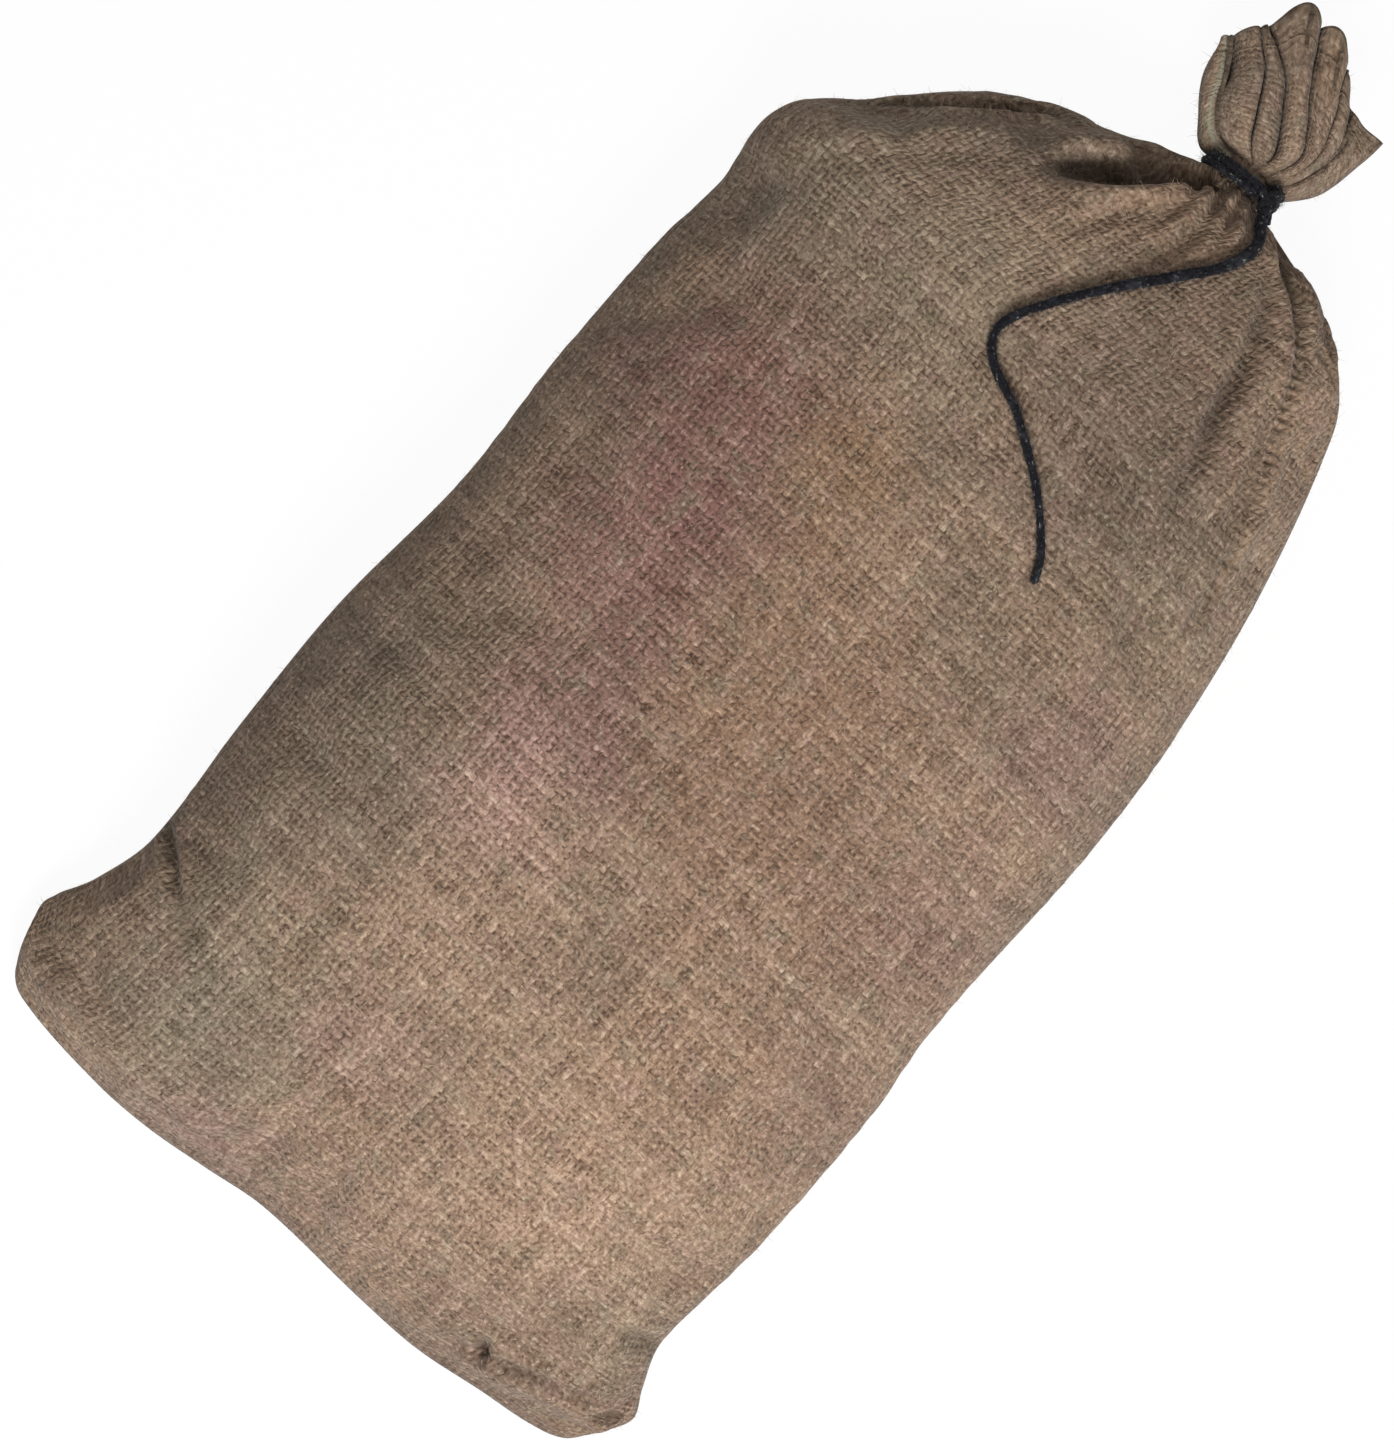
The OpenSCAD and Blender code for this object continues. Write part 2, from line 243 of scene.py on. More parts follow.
def twistedRope(name, route, radius, plies=3, lay=0.017, sides=18, groove=0.2, tip=1.0, step=0.0011):
    path = evenly(smoothLine(route, 14 * len(route)), step)
    count = len(path)
    along = np.gradient(path, axis=0)
    along /= np.linalg.norm(along, axis=1, keepdims=True)
    side = np.cross(along[0], [0.3, 0.1, 1.0])
    points, uv = [], []
    for n in range(count):
        side = side - along[n] * side.dot(along[n])
        side /= np.linalg.norm(side)
        up = np.cross(along[n], side)
        share = n / (count - 1)
        size = radius * (tip + (1 - tip) * (1 - share) ** 2)
        size *= 1 + 0.2 * noise.noise(Vector((n * 0.07, radius * 900, 2.0)))
        for k in range(sides):
            angle = 2 * math.pi * k / sides
            wave = abs(math.sin(plies / 2 * (angle - 2 * math.pi * n * step / lay)))
            reach = size * (1 - groove + groove * wave ** 0.7)
            points.append(path[n] + reach * (side * math.cos(angle) + up * math.sin(angle)))
            uv.append((k / sides * 2 * math.pi * radius, n * step))
    faces = gridFaces(count, sides, closed=True)
    tips = ((0, path[0] - along[0] * radius * 0.5), (count - 1, path[-1] + along[-1] * radius * 0.5))
    for ring, centre in tips:
        points.append(centre)
        uv.append((0, ring * step))
        hub = len(points) - 1
        ringFaces = [[ring * sides + k, ring * sides + (k + 1) % sides, hub] for k in range(sides)]
        faces += [face[::-1] for face in ringFaces] if ring == 0 else ringFaces
    rope = meshPiece(name, points, faces)
    setUv(rope, "strand", uv)
    return rope, path


def joinPieces(name, pieces):
    with bpy.context.temp_override(active_object=pieces[0], object=pieces[0], selected_objects=pieces,
                                   selected_editable_objects=pieces):
        bpy.ops.object.join()
    pieces[0].name = name
    return pieces[0]


# Thin curved fibres standing off a surface
def fibres(name, roots, normals, length, width, lie=0.6, curl=0.5):
    points, faces = [], []
    for root, normal in zip(roots, normals):
        long = length * dice.uniform(0.5, 1.3)
        lean = dice.normal(size=3)
        lean -= normal * lean.dot(normal)
        lean /= max(np.linalg.norm(lean), 1e-6)
        across = np.cross(lean, normal)
        heading = lean * lie + normal * (1 - lie)
        bow = dice.normal(size=3) * curl
        start = len(points)
        for k in range(4):
            t = k / 3
            at = root + long * (heading * t + (bow * 0.3 + lean * 0.25) * t * t)
            half = width / 2 * (1 - 0.75 * t)
            points += [at - across * half, at + across * half]
        faces += [[start + 2 * k, start + 2 * k + 1, start + 2 * k + 3, start + 2 * k + 2] for k in range(3)]
    return meshPiece(name, points, faces)


# Free end of the tie cord, from its knot over the front: millimetres across and along from the tie
cordSetup = {
    "diameter": 0.007, "clearance": 0.0003, "knotSide": 48, "knotDown": 0.002, "length": 0.38,
    "route": [[34, -24], [36, -35], [33, -47], [27, -60], [17, -74], [7, -88], [-4, -103],
              [-15, -119], [-26, -136], [-36, -153], [-45, -171], [-48, -186], [-42, -198],
              [-31, -206], [-18, -211], [-4, -216], [10, -224], [23, -232], [37, -241],
              [50, -251], [62, -262], [73, -274], [80, -287]],
}
cordRadius = cordSetup["diameter"] / 2
knotMiddle = np.array(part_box("cord_knot")[0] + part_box("cord_knot")[1]) / 2


def skinHeight(x, y):
    local = y - skinOffset[1]
    left, right = profile(lines["left"], local), profile(lines["right"], local)
    share = ((left + right) / 2 + skinOffset[0] - x) / ((right - left) / 2)
    return sackSkin(np.arccos(np.clip(share, -1, 1)) / math.pi, np.asarray(local, float), "front")[..., 2]


def tailRoute(setup):
    plan = tie[:2] + np.array(setup["route"]) / 1000
    offsets = np.array([(i, j) for i in (-1, 0, 1) for j in (-1, 0, 1)]) * cordRadius
    lie = [max(skinHeight(*(spot + offset)) for offset in offsets) for spot in plan]
    lie = np.array(lie) + cordRadius + setup["clearance"]
    knotOut = np.linalg.norm((knotMiddle - tie)[[0, 2]]) + cordRadius
    turn = math.radians(setup["knotSide"])
    down = setup["knotDown"] + 1.5 * setup["diameter"] + 4 * setup["clearance"]
    first = tie + [knotOut * math.cos(turn), -down, knotOut * math.sin(turn)]
    return np.vstack([first, np.c_[plan, lie]])


tailPoints = tailRoute(cordSetup)
cordTail, tailPath = twistedRope("cordTail", tailPoints, cordRadius * 1.18, groove=0.26, tip=0.68)
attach(cordTail, "sack")
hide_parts("cord_tail")
print("cord tail laid,", round(np.linalg.norm(np.diff(tailPath, axis=0), axis=1).sum(), 3), "m")


# Turns of the cord round the neck, and the knot
turnsSetup = {"count": 2, "pitch": 0.0056, "slant": 0.0035, "seat": 0.0286, "squeeze": 0.82}


def ringRoute(radius, y, slant, startTurn=0.0, turns=1.0, rise=0.0, steps=48):
    angles = np.linspace(0, 2 * math.pi * turns, int(steps * turns)) + startTurn
    share = np.linspace(0, 1, len(angles))
    return np.stack([tie[0] + radius * np.cos(angles), tie[1] + y + rise * share + slant * np.cos(angles),
                     tie[2] + radius * np.sin(angles)], 1)


def makeTurns(setup):
    start = math.radians(cordSetup["knotSide"])
    low = -(setup["count"] - 1) * setup["pitch"] / 2 - setup["pitch"] / 2
    radius = setup["seat"] - cordRadius + 0.0015
    route = ringRoute(radius, low, setup["slant"], start, setup["count"], setup["pitch"] * setup["count"])
    rope, path = twistedRope("cordTurns", route, cordRadius * setup["squeeze"], groove=0.26)
    return rope, path


cordTurns, turnsPath = makeTurns(turnsSetup)
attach(cordTurns, "sack")
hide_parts("cord_wraps")

knotSetup = {"strand": 0.0027, "wrapRadius": 0.0052, "cutLength": 0.011}


def makeKnot(setup):
    turn = math.radians(cordSetup["knotSide"])
    out = np.array([math.cos(turn), 0, math.sin(turn)])
    side = np.array([-math.sin(turn), 0, math.cos(turn)])
    along = np.array([0, 1.0, 0])
    middle = knotMiddle - out * 0.002
    wrap = setup["wrapRadius"]

    def spot(sideBy, outBy, alongBy):  # millimetres from the knot's middle
        return middle + (side * sideBy + out * outBy + along * alongBy) / 1000

    strands = []
    loop = np.r_[np.linspace(0, 2 * math.pi, 20)[:-1], 0]
    for shift, lean in ((-0.0035, 0.35), (0.0035, -0.35)):  # two crossing turns over the winding
        crossing = []
        for a in loop:
            across = (along + side * lean) * math.cos(a) * 0.75
            around = side * math.sin(a) * 0.72 + out * math.sin(2 * a) * 0.12
            crossing.append(middle + along * shift + (across + around) * wrap)
        strands.append(crossing)
    strands.append([spot(-9, -4, -3), spot(-5, 1, 0), spot(0, 3.2, 0), spot(5, 1, 0), spot(9, -4, 3)])
    strands.append([spot(2, 0, 6), spot(0, 4, 1), spot(0, 3, -6),
                    tailPoints[0] * 0.6 + spot(0, 1, -9) * 0.4, tailPoints[0]])  # into the free end
    cut = setup["cutLength"] * 1000
    strands.append([spot(0, 0, -2), spot(-0.45 * cut, 2, -6), spot(-0.9 * cut, 1, -10)])  # the cut end
    ropes = []
    for n, route in enumerate(strands):
        ropes.append(twistedRope("strand%d" % n, route, setup["strand"], step=0.0009)[0])
    return joinPieces("cordKnot", ropes)


cordKnot = makeKnot(knotSetup)
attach(cordKnot, "sack")
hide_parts("cord_knot")

fuzzSetup = {"count": 5200, "length": 0.0046, "width": 0.00026}


def cordFuzz(setup):
    paths = np.vstack([tailPath, turnsPath])
    weight = np.r_[np.linspace(1.9, 0.5, len(tailPath)), np.full(len(turnsPath), 0.7)]
    picks = dice.choice(len(paths) - 1, setup["count"], p=weight[:-1] / weight[:-1].sum())
    heading = paths[picks + 1] - paths[picks]
    normals = dice.normal(size=(setup["count"], 3))
    normals[:, 2] = np.abs(normals[:, 2])
    dot = (normals * heading).sum(1)[:, None]
    normals -= heading * dot / np.maximum((heading ** 2).sum(1), 1e-12)[:, None]
    normals /= np.linalg.norm(normals, axis=1)[:, None]
    roots = paths[picks] + normals * cordRadius * 0.85
    return fibres("cordFuzz", roots, normals, setup["length"], setup["width"], lie=0.55)


cordFuzzPiece = cordFuzz(fuzzSetup)
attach(cordFuzzPiece, "sack")
print("cord turns and knot tied")


# The two cloths of the sack, inflated by their packing and then creased
clothSetup = {
    "coarse": (60, 112), "fine": (232, 412), "thickness": 0.0016, "cap": 0.007, "frames": 18,
    "pressure": 3.0, "extra": -0.045, "smoothing": 60, "settled": 0.8, "gatherPleats": 8,
    "gatherDepth": 0.0042, "flat": (0.508, 0.95),
}


def sackGrid(columns, rows, side):
    s = np.linspace(0, 1, columns)
    t = (1 - np.cos(math.pi * np.linspace(0, 1, rows))) / 2 * 0.35 + np.linspace(0, 1, rows) * 0.65
    return sackSkin(*np.meshgrid(s, t * sackShape["length"]), side)


def inflate(front, back, setup):
    rows, columns = front.shape[:2]
    count = rows * columns
    index = np.arange(count).reshape(rows, columns)
    backIndex = index + count
    backIndex[0], backIndex[:, 0], backIndex[:, -1] = index[0], index[:, 0], index[:, -1]
    faces = gridFaces(rows, columns)
    table = np.r_[np.arange(count), backIndex.ravel()]
    faces += [[int(table[v]) for v in face] for face in gridFaces(rows, columns, count, flipped=True)]
    points = np.vstack([front.reshape(-1, 3), back.reshape(-1, 3)])
    trial = meshPiece("inflating", points, faces)
    edge = np.zeros((rows, columns))
    edge[0], edge[:, 0], edge[:, -1], edge[-1] = 1, 1, 1, 1
    held = trial.vertex_groups.new(name="held")
    held.add([int(v) for v in index[edge > 0]] + [int(v) for v in backIndex[-1]], 1.0, "REPLACE")
    modifier = trial.modifiers.new("slack", "CLOTH")
    cloth = modifier.settings
    cloth.quality = 6
    cloth.mass = 0.3
    cloth.tension_stiffness = cloth.compression_stiffness = 20
    cloth.shear_stiffness = 6
    cloth.bending_stiffness = 0.8
    cloth.use_pressure = True
    cloth.uniform_pressure_force = setup["pressure"]
    cloth.shrink_min = cloth.shrink_max = setup["extra"]
    cloth.vertex_group_mass = "held"
    cloth.effector_weights.gravity = 0
    modifier.point_cache.frame_end = setup["frames"]
    for step in range(1, setup["frames"] + 1):
        scene.frame_set(step)
    result = trial.evaluated_get(bpy.context.evaluated_depsgraph_get()).data
    after = np.zeros(len(result.vertices) * 3)
    result.vertices.foreach_get("co", after)
    moved = after.reshape(-1, 3) - points
    moved[count:] = moved[table[count:]]
    size = np.linalg.norm(moved, axis=1, keepdims=True)
    moved *= setup["cap"] * np.tanh(size / setup["cap"]) / np.maximum(size, 1e-9)
    bpy.data.objects.remove(trial)
    scene.frame_set(1)
    return moved[:count].reshape(rows, columns, 3), moved[count:].reshape(rows, columns, 3)


def easedSlack(moved, setup):  # keeps the wrinkles, and most of the swelling out of the size
    broad = moved.copy()
    for _ in range(setup["smoothing"]):
        broad[1:-1, 1:-1] = (broad[:-2, 1:-1] + broad[2:, 1:-1] + broad[1:-1, :-2] + broad[1:-1, 2:]) / 4
    rows, columns = moved.shape[:2]
    s = np.minimum(np.arange(columns), np.arange(columns)[::-1])[None, :, None] / (0.09 * columns)
    t = np.minimum(np.arange(rows), np.arange(rows)[::-1])[:, None, None] / (0.035 * rows)
    calm = np.clip(s, 0, 1) ** 1.5 * np.clip(t, 0, 1)
    return (moved - setup["settled"] * broad) * calm


def slackOf(setup):
    columns, rows = setup["coarse"]
    front, back = sackGrid(columns, rows, "front"), sackGrid(columns, rows, "back")
    return [easedSlack(moved, setup) for moved in inflate(front, back, setup)]


slackFront, slackBack = slackOf(clothSetup)
print("sack inflated")

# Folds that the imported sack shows: route in millimetres from the middle of the sack, width, depth
foldList = [
    ([(-104, 332), (-89, 344), (-72, 357), (-54, 373), (-39, 383)], 8, 22),  # the deepest hollow
    ([(-50, 379), (-30, 389), (-12, 401)], 6, 17),
    ([(-122, 338), (-100, 352), (-78, 366), (-56, 381)], 5, -1),  # rolled lip above it
    ([(-242, 256), (-204, 295), (-171, 325), (-138, 353), (-118, 362)], 2.8, 7),
    ([(-224, 236), (-192, 276), (-160, 308), (-130, 330)], 9, -4),
    ([(30, 407), (44, 398), (58, 388), (74, 376), (88, 362)], 5, 12),
    ([(40, 392), (60, 362), (74, 330), (84, 290), (94, 258), (100, 226)], 7, 10),
    ([(56, 404), (87, 369), (111, 329), (132, 286), (148, 246), (163, 197), (170, 150)], 4, 8),
    ([(66, 380), (92, 350), (116, 314), (138, 272), (156, 226), (168, 184)], 6, -3),
    ([(104, 330), (114, 308), (126, 280), (138, 250), (147, 220)], 5, 7),
    ([(-232, -368), (-221, -376), (-207, -385), (-196, -395), (-186, -400)], 4, 9),  # pinched left corner
    ([(-190, -396), (-172, -408), (-150, -417)], 9, 4),
    ([(-226, -358), (-200, -350), (-170, -356)], 9, -4),
    ([(157, -472), (161, -482), (164, -494)], 4, 9),
    ([(146, -490), (163, -483), (189, -472), (221, -459), (246, -452)], 3.5, 6),
    ([(160, -494), (189, -484), (221, -471), (246, -464)], 5, -3),
    ([(250, -404), (236, -402), (214, -408)], 6, 6),
    ([(256, -450), (250, -458), (240, -466)], 4, 7),
    ([(-238, 130), (-224, 190), (-206, 236)], 14, 4),
    ([(-10, 388), (-40, 368), (-70, 332), (-92, 292)], 9, -4),
    ([(20, 390), (36, 360), (44, 326)], 8, 4),
    ([(4, 384), (-8, 352), (-24, 318)], 7, 4),
    ([(-22, 384), (-46, 346), (-72, 300)], 6, 3),
]
wrinkleSetup = {"broad": (0.11, 0.0034), "middle": (0.045, 0.0017), "small": (0.016, 0.0007)}
# Most darkening, part dirt and part painted shade, and how far it reaches, from each seam and from the tie;
# the hollow share is painted shade down in the folds
dirtAndShadeSetup = {
    "left": (0.55, 0.05), "right": (0.35, 0.03), "foot": (0.35, 0.02), "tie": (0.35, 0.07), "hollow": 0.9,
}


def foldDepth(x, y, route, width, depth):
    line = smoothLine(np.array(route) / 1000, 40)
    apart = (x[..., None] - line[:, 0]) ** 2 + (y[..., None] - line[:, 1]) ** 2
    nearest = apart.argmin(-1)
    taper = np.sin(math.pi * np.clip(nearest / 39, 0.02, 0.98)) ** 0.6
    gap = np.sqrt(apart.min(-1)) / (width / 1000)
    return depth / 1000 * taper * (np.exp(-gap ** 2) - 0.28 * np.exp(-((gap - 2) / 0.8) ** 2))


def creased(grid, side, setup):
    normal = gridNormals(grid) * (1 if side == "front" else -1)
    rows, columns = grid.shape[:2]
    t = np.linspace(0, 1, rows)[:, None]
    s = np.linspace(0, 1, columns)[None]
    x, y = grid[..., 0], grid[..., 1]
    push = sum(depth * lumps(grid, size, 5 + n) for n, (size, depth) in enumerate(wrinkleSetup.values()))
    hem = np.sin(math.pi * s) ** 0.35 * np.clip(t / 0.02, 0, 1) ** 0.5
    hollow = np.zeros_like(x)
    if side == "front":
        hollow = sum(foldDepth(x, y, *fold) for fold in foldList)
        push = push - hollow
    # gathers that run into the tie
    fromTie = np.hypot(x - tie[0], y - tie[1])
    bearing = np.arctan2(x - tie[0], tie[1] - y + 0.02)
    near = np.exp(-(fromTie / 0.085) ** 2) * np.clip(fromTie / 0.03, 0.35, 1)
    wander = 1.3 * lumps(np.stack([x * 0 + bearing, fromTie * 5, x * 0], -1), 1.0, 3)
    pleats = setup["gatherPleats"] * 2 * (bearing + 0.1 * wander) + 3 * wander
    push = push + setup["gatherDepth"] * near * np.sin(pleats)
    # small puckers along the turned-in seams
    for edgeShare, length in ((np.minimum(s, 1 - s) + 0 * t, y), (t + 0 * s, x)):
        pucker = np.exp(-(edgeShare / 0.035) ** 2) * np.sin(length / 0.0042 + 5 * lumps(grid, 0.03, 8))
        push = push + 0.0007 * pucker
    # the cord presses its bed
    apart = np.min([np.hypot(x - p[0], y - p[1]) for p in tailPath[::6]], axis=0)
    bed = np.exp(-(apart / 0.011) ** 4) if side == "front" else 0
    push = push * hem * (1 - bed) + 0.0003 * bed
    if side == "back":
        onFloor = np.clip(grid[..., 2] / 0.012, 0, 1)
        push = push * (0.15 + 0.85 * onFloor)
    return grid + normal * push[..., None], hollow


def dirtAndShadeOf(uv, grid, hollow, setup):  # darkening along the seams and at the tie, part dirt and part painted shade, and painted shade down in the folds
    fromLeft, fromRight = uv[..., 0] - uv[:, :1, 0], uv[:, -1:, 0] - uv[..., 0]
    fromTie = np.hypot(grid[..., 0] - tie[0], grid[..., 1] - tie[1])
    ragged = 1 + 0.9 * lumps(grid, 0.035, 30)
    grime = np.zeros_like(fromTie)
    for name, apart in (("left", fromLeft), ("right", fromRight), ("foot", uv[..., 1]), ("tie", fromTie)):
        most, reach = setup[name]
        grime = np.maximum(grime, most * np.exp(-apart / reach * ragged))
    return np.clip(grime + setup["hollow"] * np.clip(hollow / 0.011, 0, 1), 0, 1)


def clothUv(grid, setup):
    steps = np.linalg.norm(np.diff(grid, axis=1), axis=2)
    across = np.c_[np.zeros(len(grid)), np.cumsum(steps, 1)]
    across -= across[:, -1:] / 2
    across *= (setup["flat"][0] / np.maximum(-2 * across[:, :1], 0.1)) ** 0.35
    middle = grid[:, grid.shape[1] // 2]
    along = np.r_[0, np.cumsum(np.linalg.norm(np.diff(middle, axis=0), axis=1))]
    return np.stack([across, np.repeat(along[:, None], grid.shape[1], 1)], -1)


def makeCloth(name, side, slack, setup):
    columns, rows = setup["fine"]
    smooth = sackGrid(columns, rows, side)
    uv = clothUv(smooth, setup)
    bed = np.min([np.hypot(smooth[..., 0] - p[0], smooth[..., 1] - p[1]) for p in tailPath[::8]], axis=0)
    keep = 1 - np.exp(-(bed / 0.012) ** 4)[..., None] if side == "front" else 1
    grid, hollow = creased(smooth + enlarge(slack, rows, columns) * keep, side, setup)
    grid[..., 2] = np.maximum(grid[..., 2], 0.0004)
    cloth = meshPiece(name, grid.reshape(-1, 3), gridFaces(rows, columns, flipped=side == "back"))
    setUv(cloth, "cloth", uv.reshape(-1, 2))
    wear = np.stack([dirtAndShadeOf(uv, grid, hollow, dirtAndShadeSetup), np.zeros(hollow.shape)], -1)
    setUv(cloth, "wear", wear.reshape(-1, 2))
    applyModifier(cloth, "SOLIDIFY", thickness=setup["thickness"], offset=-1, use_rim=True)
    return cloth, grid


sackFront, frontGrid = makeCloth("sackFront", "front", slackFront, clothSetup)
sackBack, backGrid = makeCloth("sackBack", "back", slackBack, clothSetup)
for cloth, node in ((sackFront, "front_panel"), (sackBack, "back_panel")):
    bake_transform(cloth)
    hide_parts(node)
print("sack cloths made")


# Ruff: the mouth of the sack above the tie. Each station is a line from the neck to the mouth,
# in millimetres across and along from the tie, with its height at five places
ruffSetup = {
    "rows": 64, "lobeColumns": 15, "pleatColumns": 5, "pleatGap": 1.5, "thickness": 0.0013,
    "hem": 0.11, "flat": (1.016, 0.105),
}
slitLine = [(-9, 6), (-33, 12), (-48, 27), (-53, 43), (-69, 62)]
frontStations = [
    ("edge", [(-15, 1), (-34, -3), (-50, 12), (-65, 33), (-72, 54)], [0, -3, -5, -5, -4], 0),
    ("lobe", [(-12, 4), (-35, 4), (-50, 19), (-60, 38), (-74, 60)], [8, 7, 8, 7, 3], 0),
    ("pleat", slitLine, [8, 4, 1, 0, -2], 22),
    ("lobe", [(-5, 8), (-24, 15), (-37, 31), (-46, 50), (-64, 74)], [17, 23, 26, 22, 13], 0),
    ("pleat", [(-2, 9), (-13, 20), (-24, 37), (-38, 59), (-59, 78)], [17, 19, 20, 16, 8], 20),
    ("lobe", [(0, 9), (-6, 22), (-17, 39), (-33, 63), (-58, 82)], [18, 24, 26, 22, 14], 0),
    ("pleat", [(2, 9), (4, 24), (-6, 41), (-27, 66), (-56, 81)], [17, 15, 12, 10, 6], 26),
    ("lobe", [(5, 9), (11, 30), (-1, 48), (-20, 73), (-49, 111)], [18, 23, 25, 22, 14], 0),
    ("pleat", [(9, 8), (17, 34), (6, 53), (-12, 76), (-31, 106)], [16, 14, 10, 7, 2], 26),
    ("lobe", [(12, 8), (20, 31), (16, 50), (3, 73), (-19, 113)], [16, 21, 22, 19, 11], 0),
    ("pleat", [(14, 7), (23, 27), (24, 47), (15, 68), (-1, 98)], [14, 16, 15, 12, 6], 20),
    ("lobe", [(15, 7), (25, 26), (27, 47), (22, 68), (7, 92)], [13, 18, 19, 16, 9], 0),
    ("pleat", [(16, 6), (26, 21), (31, 41), (31, 62), (14, 83)], [11, 10, 7, 4, 0], 22),
    ("lobe", [(17, 4), (29, 15), (37, 33), (40, 55), (34, 79)], [8, 11, 11, 9, 5], 0),
    ("edge", [(17, 1), (29, 9), (41, 25), (47, 47), (49, 79)], [0, -1, -1, 0, 3], 0),
]
backStations = [
    ("lobe", [(15, 3), (27, 14), (36, 32), (39, 50), (38, 74)], [-10, -13, -14, -12, -6], 0),
    ("pleat", [(13, 5), (24, 22), (30, 40), (31, 58), (24, 78)], [-12, -11, -9, -7, -4], 20),
    ("lobe", [(11, 6), (20, 26), (24, 46), (20, 66), (8, 90)], [-16, -20, -21, -18, -10], 0),
    ("pleat", [(9, 7), (16, 30), (17, 50), (8, 70), (-10, 102)], [-15, -13, -10, -7, -4], 24),
    ("lobe", [(6, 8), (13, 31), (8, 51), (-6, 72), (-27, 107)], [-18, -22, -24, -20, -12], 0),
    ("pleat", [(3, 8), (8, 28), (1, 48), (-16, 70), (-42, 106)], [-16, -13, -10, -7, -3], 24),
    ("lobe", [(0, 8), (0, 24), (-11, 42), (-28, 64), (-54, 92)], [-18, -23, -24, -20, -12], 0),
    ("pleat", [(-3, 8), (-10, 19), (-20, 37), (-34, 57), (-58, 80)], [-16, -13, -9, -6, -3], 22),
    ("lobe", [(-7, 7), (-20, 14), (-34, 28), (-45, 48), (-64, 70)], [-16, -20, -20, -16, -9], 0),
    ("pleat", [(-10, 5), (-29, 8), (-44, 22), (-54, 39), (-69, 62)], [-12, -10, -8, -6, -3], 18),
    ("lobe", [(-13, 3), (-33, 1), (-49, 15), (-62, 34), (-72, 56)], [-8, -11, -11, -9, -6], 0),
]


def stationLine(plan, heights, rows):
    line = np.c_[np.array(plan, float), np.array(heights, float)]
    return smoothLine(line, rows)


def ruffColumns(stations, setup, side):
    rows = setup["rows"]
    t = np.linspace(0, 1, rows)[:, None]
    deepen = np.clip(t / 0.25, 0.3, 1) * side
    columns, kinds, wear = [], [], []
    ends = [n for n, station in enumerate(stations) if station[0] != "lobe"]
    for first, second in zip(ends[:-1], ends[1:]):
        low = stationLine(*stations[first][1:3], rows)
        top = stationLine(*stations[first + 1][1:3], rows)
        high = stationLine(*stations[second][1:3], rows)
        for f in np.linspace(0, 1, setup["lobeColumns"]):
            blend = low * (1 - f) * (1 - 2 * f) + top * 4 * f * (1 - f) + high * f * (2 * f - 1)
            base = low[:, 2] * (1 - f) + high[:, 2] * f
            swell = (1 - abs(2 * f - 1) ** 2.6) ** 0.62
            blend[:, 2] = base + (top[:, 2] - (low[:, 2] + high[:, 2]) / 2) * swell
            columns.append(blend)
            kinds.append("lobe")
            selvedge = math.exp(-((f - 0.66) / 0.13) ** 2) if first == 0 and side == 1 else 0
            # painted shade: each lobe is darker towards the pleats at its sides
            wear.append((0.12 + 0.6 * abs(2 * f - 1) ** 3.5, selvedge))
        if stations[second][0] == "pleat":
            depth = stations[second][3]
            lean = np.gradient(high[:, :2], axis=0)
            lean /= np.linalg.norm(lean, axis=1, keepdims=True)
            across = np.c_[lean[:, 1], -lean[:, 0]] * side
            for made in (columns, kinds, wear):
                made.pop()
            down = np.linspace(0.12, 1, setup["pleatColumns"])
            for way, shares in ((-1, down), (1, down[::-1])):
                for share in shares:
                    wall = high.copy()
                    gap = setup["pleatGap"] * (0.55 + 0.45 * (1 - share))
                    wall[:, :2] += across * way * gap * np.clip(t * 3, 0.35, 1)
                    wall[:, 2:] -= deepen * depth * share
                    columns.append(wall)
                    kinds.append("pleat")
                    # painted shade: darker deeper in each pleat
                    wear.append((0.6 + 0.4 * share, 0))
    return columns, kinds, wear


